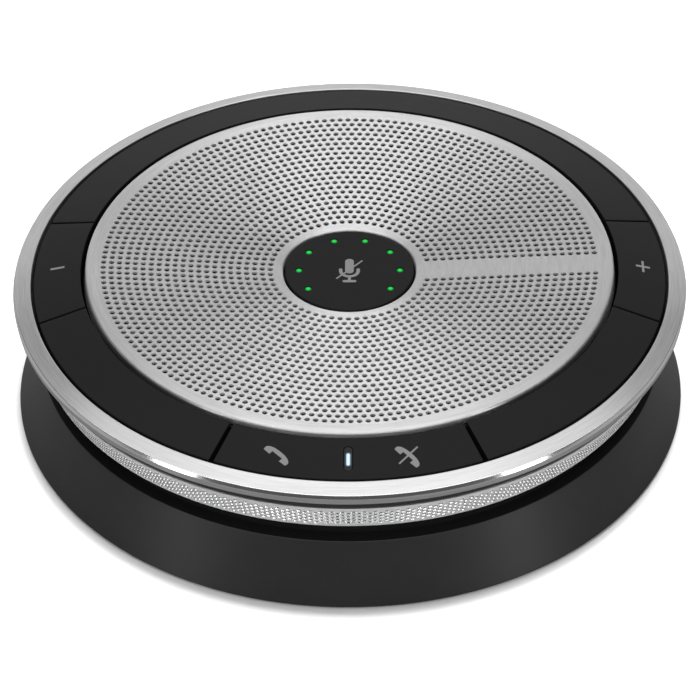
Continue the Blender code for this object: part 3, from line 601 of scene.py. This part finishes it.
# ---- base --------------------------------------
def lower_housing():
    lip_r = COVER_HIGH.x + FIT_GAP
    ledge_z = COVER_HIGH.z + FIT_GAP
    base_r, deck_z, edge_z = BASE_HIGH.x, BASE_HIGH.z, BASE_LOW.z
    slope = (base_r - SHOULDER_R) / (SHOULDER_Z - edge_z)
    under_z = deck_z - DECK_THICK
    ledge_r = base_r - slope * (ledge_z - edge_z) - BASE_WALL
    neck_inner_r = NECK_R - NECK_WALL
    profile = rounded([
        (NECK_R, deck_z), (NECK_R, NECK_Z, 0.1), (SHOULDER_R, SHOULDER_Z, 0.15), (base_r, edge_z, 0.2),
        (lip_r, edge_z, 0.12), (lip_r, ledge_z), (ledge_r, ledge_z),
        (SHOULDER_R - BASE_WALL, SHOULDER_Z - BASE_WALL, 0.5), (neck_inner_r, NECK_Z - BASE_WALL, 0.2),
        (neck_inner_r, under_z), (DECK_HOLE_R, under_z), (DECK_HOLE_R, deck_z, 0.2),
    ])
    shell = turned(profile)
    # Faces above the shoulder, the neck, take the second material, the darker black that paints the shade
    # under the head.
    for face in shell.faces:
        face.material_index = int(face.calc_center_median().z > SHOULDER_Z + 0.02)
    pad_reach, pad_near, pad_far = 7.0, 47.2, 50.0
    pad = rectangle(-pad_reach, pad_reach, pad_near, pad_far)
    shell = combined(shell, prism(pad, POCKET_LOW_Z - 0.6, POCKET_HIGH_Z + 0.5), "UNION")
    opening = rectangle(-POCKET_HALF_WIDTH, POCKET_HALF_WIDTH, POCKET_FACE_Y, BEYOND_BASE)
    pocket = prism(opening, POCKET_LOW_Z, POCKET_HIGH_Z)
    weight = pocket.edges.layers.float.new("bevel_weight_edge")
    for edge in pocket.edges:
        edge[weight] = float(abs(edge.verts[0].co.y - edge.verts[1].co.y) > 1.0)
    corner_r, bore_r, inside = 0.8, 2.3, 40.0
    shell = combined(shell, bevelled(pocket, corner_r), "DIFFERENCE")
    bore = along_y([(0.0, BEYOND_BASE), (bore_r, BEYOND_BASE), (bore_r, inside), (0.0, inside)])
    shell = combined(shell, bore, "DIFFERENCE")
    add_piece("base_shell", shell, [BASE_BLACK, NECK_PAINTED_SHADE], "base", ["lower_housing"])


def along_y(profile):
    """A piece turned about the cable gland's axis; the outline's heights are distances along +Y."""
    bm = turned(profile, 48)
    bmesh.ops.rotate(bm, verts=bm.verts, matrix=Matrix.Rotation(math.radians(-90), 3, "X"))
    bmesh.ops.translate(bm, verts=bm.verts, vec=(0.0, 0.0, (GLAND_LOW.z + GLAND_HIGH.z) / 2))
    return bm


def cable_gland():
    bore_r, neck_r, flange_r = 1.5, 2.0, (GLAND_HIGH.x - GLAND_LOW.x) / 2
    near, far = GLAND_LOW.y, GLAND_HIGH.y
    lip_r, lip_y = 2.9, near + 0.9
    face = POCKET_FACE_Y + FIT_GAP
    profile = rounded([
        (bore_r, far, 0.25), (flange_r, far, 0.4), (flange_r, face, 0.1), (neck_r, face), (neck_r, lip_y),
        (lip_r, lip_y, 0.1), (lip_r, near, 0.1), (bore_r, near, 0.1),
    ])
    add_piece("gland_bush", along_y(profile), [RUBBER], "base", ["cable_gland"])


def underside():
    foot_inner_r, foot_outer_r = 47.5, FOOT_HIGH.x
    foot_top, foot_low = FOOT_HIGH.z, FOOT_LOW.z
    ridges = []
    ridge_count, ridge_inset, groove_half, groove_depth = 5, 0.14, 0.06, 0.2
    pitch = (foot_outer_r - foot_inner_r) / ridge_count
    for i in range(ridge_count):
        left = foot_inner_r + i * pitch
        right, groove_z = left + pitch, foot_low + groove_depth
        ridges += [(left + ridge_inset, foot_low, 0.08), (right - ridge_inset, foot_low, 0.08),
                   (right - groove_half, groove_z), (right + groove_half, groove_z)]
    side_z = foot_low + 0.25
    profile = rounded(ridges[:-2] + [(foot_outer_r, side_z), (foot_outer_r, foot_top, 0.1),
                                     (foot_inner_r, foot_top, 0.1), (foot_inner_r, side_z)])
    add_piece("foot_ring", turned(profile), [RUBBER], "base", ["rubber_foot"])


# ---- head --------------------------------------
def outer_rim():
    side_r, low_z, top_z = RIM_HIGH.x, RIM_LOW.z + RIM_LIP, RIM_HIGH.z
    profile = rounded([
        (RIM_INNER_R, top_z, 0.2), (RIM_SHOULDER_R, RIM_SHOULDER_Z, 0.12), (side_r, RIM_SIDE_Z, 0.15),
        (side_r - 0.15, low_z, 0.15), (RIM_INNER_R, low_z),
    ])
    rim = turned(profile)
    for face in rim.faces:
        middle = face.calc_center_median()
        face.material_index = int(middle.xy.length > RIM_SHOULDER_R - 0.1 and middle.z > RIM_SIDE_Z)
    add_piece("rim_ring", rim, [STEEL["rim"], POLISHED_CUT], "base", ["outer_rim"])


def upper_housing():
    wall_r, shelf_z, trough_z = HOUSING_HIGH.x, 20.9, HOUSING_LOW.z
    inner_r, inner_outer_r, inner_top = 41.0, 43.4, HOUSING_HIGH.z
    bridge_z, bridge_top, ledge_r = 18.9, 20.1, 33.0
    hub_r, rib_start, rib_half_width = 12.8, 10.8, 1.5
    seat_r, seat_inner_r, seat_z = 51.8, 50.0, RING_LOW.z - FIT_GAP
    skirt_r, skirt_inner_r, skirt_z, step_z = 52.5, 50.8, 19.5, 19.4
    trough_r, trough_inner_r, trough_top = 50.4, 49.2, trough_z + 1.0
    profile = rounded([
        (wall_r, shelf_z, 0.1), (wall_r, skirt_z), (skirt_r, skirt_z), (trough_r, trough_z, 0.2),
        (inner_r, trough_z), (inner_r, bridge_z), (ledge_r, bridge_z), (ledge_r, bridge_top),
        (inner_r, bridge_top), (inner_r, inner_top, 0.2), (inner_outer_r, inner_top, 0.2),
        (inner_outer_r, trough_top), (trough_inner_r, trough_top), (skirt_inner_r, step_z),
        (seat_inner_r, step_z), (seat_inner_r, seat_z), (seat_r, seat_z), (seat_r, shelf_z),
    ])
    housing = turned(profile, 240)
    hub = prism(circle(hub_r, steps=64), bridge_z, bridge_top)
    housing = joined([housing, hub])
    ribs = []
    for angle in (30, 150, 270):
        outline = rectangle(rib_start, ledge_r + 2, -rib_half_width, rib_half_width)
        rib = prism(outline, bridge_z + 0.1, bridge_top - 0.1)
        bmesh.ops.rotate(rib, verts=rib.verts, matrix=Matrix.Rotation(math.radians(angle), 3, "Z"))
        ribs.append(rib)
    housing = combined(housing, joined(ribs), "UNION")
    add_piece("head_shell", housing, [HOUSING_BLACK], "base", ["upper_housing"])


# ---- perforated steel --------------------------
def perforated_sheet(cells, hole_r, place):
    """A sheet of six-sided cells (centre, corners, open), with corners (key, point) counter-clockwise.

    place turns a flat point into a point of the sheet. Returns the bmesh, its outer chains of vertices and
    each hole vertex's way to the middle of its hole.
    """
    bm = bmesh.new()
    outer = {}
    inwards = {}
    for centre, corners, is_open in cells:
        for key, point in corners:
            if key not in outer:
                outer[key] = bm.verts.new(place(*point))
        around = [outer[key] for key, _ in corners]
        if not is_open:
            bm.faces.new(around)
            continue
        first = Vector(corners[0][1]) - Vector(centre)
        start = math.atan2(first.y, first.x)
        hole = [bm.verts.new(place(*point)) for point in circle(hole_r, centre, HOLE_SIDES, start)]
        middle = sum((vertex.co for vertex in hole), Vector()) / HOLE_SIDES
        inwards.update((vertex, (middle - vertex.co).normalized()) for vertex in hole)
        per_side = HOLE_SIDES // len(around)
        for i, vertex in enumerate(around):
            inner = [hole[(per_side * i + j) % HOLE_SIDES] for j in range(per_side, -1, -1)]
            bm.faces.new([vertex, around[(i + 1) % len(around)], *inner])
    corner_verts = set(outer.values())
    edge_verts = {v for e in bm.edges if e.is_boundary and e.verts[0] in corner_verts for v in e.verts}
    return bm, edge_verts, inwards


def border(bm, chain, profile):
    """Carries a sheet on from its edge through turned rows of (radius, height) points."""
    chain = sorted(chain, key=lambda v: math.atan2(v.co.y, v.co.x))
    angles = [math.atan2(v.co.y, v.co.x) for v in chain]
    for radius, z in profile:
        row = [bm.verts.new((radius * math.cos(a), radius * math.sin(a), z)) for a in angles]
        quads_between(bm, chain, row)
        chain = row


def sheet_metal(bm, thickness, inwards, taper):
    """Thickens the sheet; its bare edges get the second material, and its holes narrow with depth."""
    bmesh.ops.recalc_face_normals(bm, faces=bm.faces)
    up = sum(face.normal.z * face.calc_area() for face in bm.faces)
    outwards = sum(face.normal.dot(face.calc_center_median().normalized()) for face in bm.faces)
    if up + outwards < 0:
        bmesh.ops.reverse_faces(bm, faces=bm.faces)
    bm.normal_update()
    upper_faces = list(bm.faces)
    edge_loops = [edge.link_loops[0] for edge in bm.edges if edge.is_boundary]
    ends = [(loop.vert, loop.link_loop_next.vert) for loop in edge_loops]
    lower = {}
    for vertex in list(bm.verts):
        shift = inwards.get(vertex, Vector()) * taper
        lower[vertex] = bm.verts.new(vertex.co - vertex.normal * thickness + shift)
    for face in upper_faces:
        bm.faces.new([lower[vertex] for vertex in reversed(face.verts)])
    for first, second in ends:
        bm.faces.new([second, first, lower[first], lower[second]]).material_index = 1
    return bm


def grille_z(radius):
    """Height of the dished grille's upper face, lowest in the middle."""
    dip, rise, easing = 2.185, 2.455, 0.232
    reach = radius / 40
    return GRILLE_HIGH.z - dip + rise * reach - easing * reach ** 2


def grille_point(x, y):
    return x, y, grille_z(math.hypot(x, y))


def ring_site(ring, index):
    """Where a hole of the grille stands; ring k holds 6k of them."""
    count = 6 * ring
    return polar(GRILLE_PITCH * ring, GRILLE_TURN + 360 * (index % count) / count).xy


def grille_cells():
    """One cell for each hole: its corners are the middles of the triangles of neighbouring holes."""
    for ring in range(GRILLE_FIRST_RING, GRILLE_LAST_RING + 1):
        for index in range(6 * ring):
            sector, step = divmod(index, ring)
            beyond = [(ring + 1, index + sector), (ring + 1, index + sector + 1), (ring, index + 1)]
            if step:
                around = [*beyond, (ring - 1, index - sector), (ring - 1, index - sector - 1)]
            else:
                around = [(ring + 1, index + sector - 1), *beyond, (ring - 1, index - sector)]
            around.append((ring, index - 1))
            around = [(k, a % (6 * k)) for k, a in around]
            corners = []
            for first, second in zip(around, around[1:] + around[:1]):
                trio = frozenset([(ring, index), first, second])
                middle = sum((ring_site(*site) for site in trio), Vector((0.0, 0.0))) / 3
                corners.append((trio, middle))
            blank = min(index, 6 * ring - index) <= 1
            yield ring_site(ring, index), corners, not blank


def speaker_grille():
    bm, edge, inwards = perforated_sheet(grille_cells(), GRILLE_PERFORATION_R, grille_point)
    rim_r, skirt_z = GRILLE_HIGH.x, 24.3
    middle_r = (GRILLE_HOLE_R + rim_r) / 2
    roll_r = rim_r - GRILLE_ROLL
    roll_z = grille_z(roll_r) - GRILLE_ROLL
    plain_r, plain_inner_r = (41.35, 42.1), 11.95       # rows of the plain borders beyond the holes
    outer = [(r, grille_z(r)) for r in (*plain_r, roll_r)]
    for angle in map(math.radians, (70, 50, 30, 12, 0)):
        outer.append((roll_r + GRILLE_ROLL * math.cos(angle), roll_z + GRILLE_ROLL * math.sin(angle)))
    outer.append((rim_r, skirt_z))
    lip = 0.38
    lip_r = GRILLE_HOLE_R + lip
    inner = [(r, grille_z(r)) for r in (plain_inner_r, lip_r + 0.04)]
    for angle in map(math.radians, (80, 60, 40, 20, 0)):
        inner.append((lip_r - lip * math.cos(angle), grille_z(lip_r) - lip + lip * math.sin(angle)))
    inner.append((GRILLE_HOLE_R, GRILLE_LOW.z))
    border(bm, [v for v in edge if v.co.xy.length > middle_r], outer)
    border(bm, [v for v in edge if v.co.xy.length < middle_r], inner)
    sheet = sheet_metal(bm, GRILLE_SHEET, inwards, GRILLE_HOLE_TAPER)
    add_piece("grille", sheet, [STEEL["grille"], SATIN_CUT], "base", ["speaker_grille"])


def grille_cloth():
    inner, outer = 12.3, CLOTH_HIGH.x
    drop, steps = 0.9, 12
    radii = [inner + (outer - inner) * i / steps for i in range(steps + 1)]
    profile = [(r, grille_z(r) - drop) for r in radii]
    profile += [(r, grille_z(r) - drop - CLOTH_THICK) for r in reversed(radii)]
    add_piece("cloth_disc", turned(profile, 160), [CLOTH], "base", ["grille_cloth"])


def band_point(column, height):
    """A point of the waist band's outer face; height is above the band's lower edge."""
    share = height / (BAND_HIGH.z - BAND_LOW.z)
    radius = BAND_BOTTOM_R + (BAND_HIGH.x - BAND_BOTTOM_R) * share
    return polar(radius, 360 * column / BAND_COLUMNS, BAND_LOW.z + height)


def side_band():
    """Four rows of holes, each second column half a row lower."""
    column_pitch = BAND_ROW_PITCH * math.sqrt(3) / 2
    top_centre = BAND_HIGH.z - BAND_LOW.z - BAND_TOP_MARGIN
    reaches = ((2, 0), (1, 1), (-1, 1), (-2, 0), (-1, -1), (1, -1))
    cells = []
    for column in range(BAND_COLUMNS):
        for row in range(BAND_ROWS):
            half_rows = 2 * row + column % 2
            height = top_centre - half_rows * BAND_ROW_PITCH / 2
            corners = []
            for across, up in reaches:
                key = ((3 * column + across) % (3 * BAND_COLUMNS), half_rows - up)
                corners.append((key, (column * column_pitch + across * column_pitch / 3,
                                      height + up * BAND_ROW_PITCH / 2)))
            cells.append(((column * column_pitch, height), corners, True))
    bm, edge, inwards = perforated_sheet(cells, BAND_HOLE_R, lambda x, y: band_point(x / column_pitch, y))
    middle_z = BAND_LOW.z + top_centre - (BAND_ROWS - 0.5) * BAND_ROW_PITCH / 2
    tall = BAND_HIGH.z - BAND_LOW.z
    plain, lip = 0.9, 0.25      # the plain strip above the holes, and the lip along each edge
    rows = {True: (tall - plain, tall - lip, tall), False: (lip, 0.0)}
    for upper, heights in rows.items():
        profile = []
        for height in heights:
            point = band_point(0, height)
            profile.append((point.xy.length, point.z))
        border(bm, [v for v in edge if (v.co.z > middle_z) == upper], profile)
    sheet = sheet_metal(bm, BAND_SHEET, inwards, BAND_HOLE_TAPER)
    add_piece("waist_band", sheet, [STEEL["band"], POLISHED_CUT], "base", ["side_band"])


# ---- key ring ----------------------------------
RING_R = RING_HIGH.x
RING_TOP = [(RING_INNER_R, RING_HIGH.z, 0.1), (RING_R, RING_OUTER_Z, 0.2)]


def key_span(node, axis, middle):
    """Start and end of a key from its box, whose far corners stand on the ring's outer radius."""
    low, high = box_mm(node)
    reaches = [math.degrees(math.asin(value[axis] / RING_R)) for value in (low, high)]
    if middle == 180:
        reaches = [-reaches[1], -reaches[0]]
    return middle + reaches[0], middle + reaches[1]


SPANS = {
    "volume_up_key": (key_span("volume_up_key", 1, 0), SEAM),
    "volume_down_key": (key_span("volume_down_key", 1, 180), SEAM),
    "call_key": (key_span("call_key", 0, 270), CALL_SEAM),
}


def ring_top_z(x, y):
    slope = (RING_HIGH.z - RING_OUTER_Z) / (RING_R - RING_INNER_R)
    return RING_HIGH.z - slope * (math.hypot(x, y) - RING_INNER_R)


def ring_angles():
    """Angles round the ring, each with whether the ring is full height just after it."""
    gaps = []
    for (start, end), seam in SPANS.values():
        spare = math.degrees(seam / KEY_R)
        gaps.append(((start - spare) % 360, (end - start) + 2 * spare))
    gaps.sort()
    rows = []
    for i, (start, width) in enumerate(gaps):
        following = gaps[(i + 1) % len(gaps)][0]
        arc = (following - start) % 360 - width
        for length, base, full in ((width, start, False), (arc, start + width, True)):
            steps = math.ceil(length / SWEEP_STEP)
            rows += [(base + length * step / steps, full) for step in range(steps)]
    return rows


def control_ring():
    """A floor all the way round, with full-height arcs between the recesses for the keys."""
    top = rounded([(RING_INNER_R, RECESS_Z), *RING_TOP, (RING_R, RECESS_Z)])
    bm = bmesh.new()
    weight = bm.edges.layers.float.new("bevel_weight_edge")
    rows = []
    angles = ring_angles()
    for i, (angle, full) in enumerate(angles):
        stands = full or angles[i - 1][1]
        outline = top if stands else [top[0], top[-1]]
        upper = [bm.verts.new(polar(r, angle, z)) for r, z in outline]
        lower = [bm.verts.new(polar(r, angle, RING_LOW.z)) for r in (RING_INNER_R, RING_R)]
        rows.append((upper, lower, full, full != angles[i - 1][1]))
    for i, (upper, lower, full, step) in enumerate(rows):
        next_upper, next_lower = rows[(i + 1) % len(rows)][:2]
        if full:
            quads_between(bm, upper, next_upper, closed=False)
        else:
            quads_between(bm, [upper[0], upper[-1]], [next_upper[0], next_upper[-1]], closed=False)
        quads_between(bm, [upper[0], lower[0], lower[1], upper[-1]],
                      [next_upper[0], next_lower[0], next_lower[1], next_upper[-1]], closed=False)
        if step:
            floor_edge = {upper[0], upper[-1]}
            for edge in bm.faces.new(upper).edges:
                edge[weight] = float(set(edge.verts) != floor_edge)
    bmesh.ops.recalc_face_normals(bm, faces=bm.faces)
    ring = bevelled(bm)
    outlines = [slot_outline(FIT_GAP)]
    for node in SPANS:
        hooks, plungers = post_centres(node)
        outlines += [circle(POST_R + FIT_GAP, centre) for centre in hooks + plungers]
    holes = [prism(outline, RING_LOW.z - 1, RECESS_Z + 1) for outline in outlines]
    ring = combined(ring, joined(holes), "DIFFERENCE")
    add_piece("ring_moulding", ring, [RING_BLACK], "base", ["control_ring"])


def post_centres(node):
    """Where a key's hooks and its plungers stand."""
    middle = sum(SPANS[node][0]) / 2
    hook_offset, _, plungers, _ = CALL_POSTS if node == "call_key" else VOLUME_POSTS
    hooks = [polar(KEY_R, middle + offset).xy for offset in (-hook_offset, hook_offset)]
    return hooks, [polar(KEY_R, middle + offset).xy for offset in plungers]


def key_body(node):
    (start, end), _ = SPANS[node]
    profile = rounded([(RING_INNER_R, KEY_BOTTOM_Z), *RING_TOP, (RING_R, KEY_BOTTOM_Z)])
    bm = bevelled(swept(profile, start, end))
    switch_top = box_mm("answer_switch")[1].z
    _, hook_depth, _, switch_gap = CALL_POSTS if node == "call_key" else VOLUME_POSTS
    hook_z, root_z = RING_LOW.z - hook_depth, KEY_BOTTOM_Z + 0.4
    hooks, plungers = post_centres(node)
    posts = []
    for centre in hooks:
        posts.append(prism(circle(POST_R, centre), hook_z - 0.3, root_z))
        posts.append(prism(circle(HOOK_R, centre), hook_z - HOOK_THICK, hook_z))
    for centre in plungers:
        posts.append(prism(circle(POST_R, centre), switch_top + switch_gap, root_z))
    for post in posts:
        bm = combined(bm, post, "UNION")
    return bm


def slot_outline(grow=0.0):
    """Outline of the status window's bar with round ends."""
    reach = SLOT_HALF_LENGTH - SLOT_HALF_WIDTH
    return capsule((0, -KEY_R - reach), (0, -KEY_R + reach), SLOT_HALF_WIDTH + grow)


def keys():
    for node, body in (("volume_up_key", "volume_up"), ("volume_down_key", "volume_down")):
        add_piece(f"{node}_cap", key_body(node), [RING_BLACK], body, [node])
    slot = prism(slot_outline(SLOT_CLEARANCE), RING_LOW.z - 1, RING_HIGH.z + 1)
    rocker = combined(key_body("call_key"), slot, "DIFFERENCE")
    add_piece("call_key_cap", rocker, [RING_BLACK], "call_rocker", ["call_key"])


def status_light():
    window = prism(slot_outline(), PIPE_LOW.z, lambda x, y: ring_top_z(x, y) - WINDOW_SUNK)
    add_piece("status_window", window, [status_window()], "base", ["status_light_pipe"])


# ---- mute button -------------------------------
def led_centres():
    return [polar(LED_R, LED_STEP * (step - 1)).xy for step in range(LED_COUNT)]


def mute_button():
    top_z, low_z, flange_r = MUTE_HIGH.z, MUTE_LOW.z, MUTE_HIGH.x
    plate_z = top_z - 0.97
    wall_r, stem_r, stem_z = 9.7, 1.3, 22.55
    flange_top = GRILLE_LOW.z - FIT_GAP
    profile = rounded([
        (0, top_z), (MUTE_R, top_z, 0.25), (MUTE_R, flange_top), (flange_r, flange_top, 0.1),
        (flange_r, low_z), (wall_r, low_z), (wall_r, plate_z),
        (stem_r, plate_z), (stem_r, stem_z), (0, stem_z),
    ])
    disc = turned(profile, 192)
    hole_r = LED_PIP_R + 0.06
    holes = [prism(circle(hole_r, centre), low_z, top_z + 1) for centre in led_centres()]
    disc = combined(disc, joined(holes), "DIFFERENCE")
    add_piece("mute_disc", disc, [RING_BLACK], "mute", ["mute_button"])
    guide_top, guide_low, pip_low = 22.7, 22.2, 22.4
    guide = turned(rectangle(7.3, 9.2, guide_top, guide_low), SMALL_SEGMENTS)
    pips = []
    for x, y in led_centres():
        crown = [(radius, GUIDE_HIGH.z - drop) for radius, drop in PIP_CROWN]
        pip = turned([*crown, (LED_PIP_R, pip_low), (0, pip_low)], 24)
        bmesh.ops.translate(pip, verts=pip.verts, vec=(x, y, 0))
        pips.append(pip)
    guide = combined(guide, joined(pips), "UNION")
    add_piece("light_guide", guide, [led_green()], "mute", ["mute_light_guide"])


# ---- symbols -----------------------------------
def arc_band(outer_r, inner_r, centre, start, end, steps=20):
    """Outline of a strip between two radii."""
    points = []
    for radius, angles in ((outer_r, (start, end)), (inner_r, (end, start))):
        for i in range(steps + 1):
            angle = math.radians(angles[0] + (angles[1] - angles[0]) * i / steps)
            points.append((centre[0] + radius * math.cos(angle), centre[1] + radius * math.sin(angle)))
    return points


def handset():
    """A telephone receiver that leans to the right, with its back to the upper right."""
    reach, rise, middle_v, steps = 2.42, 0.9, -0.12, 20
    points = []
    for i in range(steps + 1):
        angle = math.pi * i / steps
        across = math.copysign(abs(math.cos(angle)) ** 0.8, math.cos(angle))
        points.append((reach * across, middle_v + rise * math.sin(angle)))
    end_u, end_v, notch_u, notch_v = 2.32, -0.56, 1.05, 0.06
    points += [(-end_u, end_v), (-notch_u, end_v - 0.05), (-notch_u, notch_v)]
    points += [(notch_u, notch_v), (notch_u, end_v - 0.05), (end_u, end_v)]
    turn = math.sqrt(0.5)
    return [((u + v) * turn, (v - u) * turn) for u, v in points]


def bar(first, second, width):
    """A straight stroke with square ends."""
    first, second = Vector(first), Vector(second)
    side = (second - first).normalized().orthogonal() * width / 2
    return [tuple(p) for p in (first + side, second + side, second - side, first - side)]


def microphone_symbol():
    bracket_r, bracket_inner, bracket_y, arm_top = 1.71, 1.14, -0.13, 0.56
    arm_r = (bracket_r + bracket_inner) / 2
    arm_half = (bracket_r - bracket_inner) / 2
    return [
        capsule((0, -0.05), (0, 2.4), 0.71),
        arc_band(bracket_r, bracket_inner, (0, bracket_y), 180, 360),
        capsule((-arm_r, bracket_y), (-arm_r, arm_top - arm_half), arm_half),
        capsule((arm_r, bracket_y), (arm_r, arm_top - arm_half), arm_half),
        bar((0, -1.7), (0, -2.7), 0.49),
        capsule((-0.84, -2.84), (0.84, -2.84), 0.29),
        bar((-2.11, -2.15), (2.13, 2.65), 0.28),
    ]


def add_symbol(name, strokes, centre, surface_z, body, turn=0.0):
    """Lays strokes on a surface; each stands a hair higher than the one before, so that none coincide."""
    spin = Matrix.Rotation(math.radians(turn), 2)
    plates = []
    for i, stroke in enumerate(strokes):
        points = [tuple(Vector(centre) + spin @ Vector(point)) for point in stroke]
        raised = ICON_RAISED + 0.003 * i
        plates.append(prism(points, lambda x, y: surface_z(x, y) - 0.05,
                            lambda x, y, raised=raised: surface_z(x, y) + raised))
    add_piece(name, joined(plates), [SYMBOL], body)


def symbols():
    icon_r = 48.0
    for name, x, strokes in (
        ("answer_symbol", -10.9, [handset()]),
        ("end_call_symbol", 9.12, [handset(), bar((-1.34, -1.42), (1.5, 1.84), 0.26)]),
    ):
        centre = (x, -math.sqrt(icon_r ** 2 - x ** 2))
        add_symbol(name, strokes, centre, ring_top_z, "call_rocker")
    stroke = bar((-1.15, 0), (1.15, 0), 0.46)
    add_symbol("plus_symbol", [stroke, bar((0, -1.45), (0, 1.45), 0.38)], (KEY_R + 0.2, 0), ring_top_z,
               "volume_up")
    add_symbol("minus_symbol", [stroke], (-KEY_R, 0), ring_top_z, "volume_down")
    add_symbol("microphone_symbol", microphone_symbol(), (0, -0.15), lambda x, y: MUTE_HIGH.z, "mute")


# ---- stage, light and camera -------------------
def finish_cad_nodes():
    """The hidden pieces keep their CAD meshes and get a finish by their material slot."""
    slots = {row["node"]: row["material_slot"] for row in frame["record"]["subparts"]}
    for name, obj in frame["nodes"].items():
        if obj.hide_render:
            continue
        obj.data.materials.clear()
        obj.data.materials.append(CAD_FINISHES[slots[name]])


def stage_plane(name, tone, height, hidden_from):
    """A large plane; hidden_from names the kinds of ray that don't see it."""
    material, tree, shader = new_material(name, grey(tone), 0.7)
    cloud = noise(tree, position(tree), 0.01, 2.0)
    feed(tree, shader, Base_Color=ramp(tree, cloud, [(0.0, grey(tone - 0.01)), (1.0, grey(tone + 0.01))]))
    bm = bmesh.new()
    bmesh.ops.create_grid(bm, x_segments=1, y_segments=1, size=4.0)
    mesh = new_mesh(name, bm)
    mesh.materials.append(material)
    obj = new_object(name, mesh)
    obj.location.z = height
    for kind in hidden_from:
        setattr(obj, f"visible_{kind}", False)
    return obj


def softbox(name, azimuth, elevation, width, height, radiance):
    """A rectangular lamp aimed at the object; sizes in metres, radiance as a mirror would show it."""
    light = bpy.data.lights.new(name, "AREA")
    light.shape = "RECTANGLE"
    light.size = width
    light.size_y = height
    light.energy = radiance * math.pi * width * height
    obj = new_object(name, light)
    rise = math.radians(elevation)
    obj.location = polar(LAMP_DISTANCE * math.cos(rise), azimuth, LAMP_DISTANCE * math.sin(rise))
    obj.rotation_mode = "QUATERNION"
    obj.rotation_quaternion = (-obj.location).to_track_quat("-Z", "Y")
    return obj


def lights():
    """A ring of softboxes. A white floor takes the shadow; gloss reflects the darker one below it."""
    world = bpy.data.worlds.new("studio")
    bpy.context.scene.world = world
    world.use_nodes = True
    background = world.node_tree.nodes["Background"]
    background.inputs["Color"].default_value = (*grey(1.0), 1.0)
    background.inputs["Strength"].default_value = 0.08
    for lamp in SOFTBOXES:
        softbox(*lamp)
    white_floor = stage_plane("pale_floor", 0.82, 0.0, ("glossy", "shadow"))
    stage_plane("reflected_floor", 0.60, -0.0005, ("camera", "diffuse"))
    floor_lamp = softbox("floor_lamp", 80, 86, 0.2, 0.2, 279.0)
    receivers = bpy.data.collections.new("floor_only")
    receivers.objects.link(white_floor)
    floor_lamp.light_linking.receiver_collection = receivers


def camera():
    data = bpy.data.cameras.new("camera")
    data.sensor_width = 36.0
    data.lens = 178.88
    data.shift_x = -0.00023
    data.clip_start, data.clip_end = 0.01, 20.0
    obj = new_object("camera", data)
    pitch, roll, turn = math.radians(39.0923), math.radians(-0.5119), math.radians(0.54)
    right = Vector((1.0, 0.0, 0.0))
    forward = Vector((0.0, math.cos(pitch), -math.sin(pitch)))
    up = right.cross(forward)
    rolled_right = right * math.cos(roll) + up * math.sin(roll)
    rolled_up = up * math.cos(roll) - right * math.sin(roll)
    matrix = Matrix((rolled_right, rolled_up, -forward)).transposed().to_4x4()
    matrix.translation = Vector((0.0, -449.32, 372.19)) * MM
    obj.matrix_world = Matrix.Rotation(turn, 4, "Z") @ matrix
    bpy.context.scene.camera = obj


camera()
lower_housing()
cable_gland()
underside()
outer_rim()
upper_housing()
speaker_grille()
grille_cloth()
side_band()
control_ring()
keys()
status_light()
mute_button()
symbols()
finish_cad_nodes()
lights()
bpy.context.scene.view_settings.view_transform = "Standard"

bpy.context.view_layer.update()
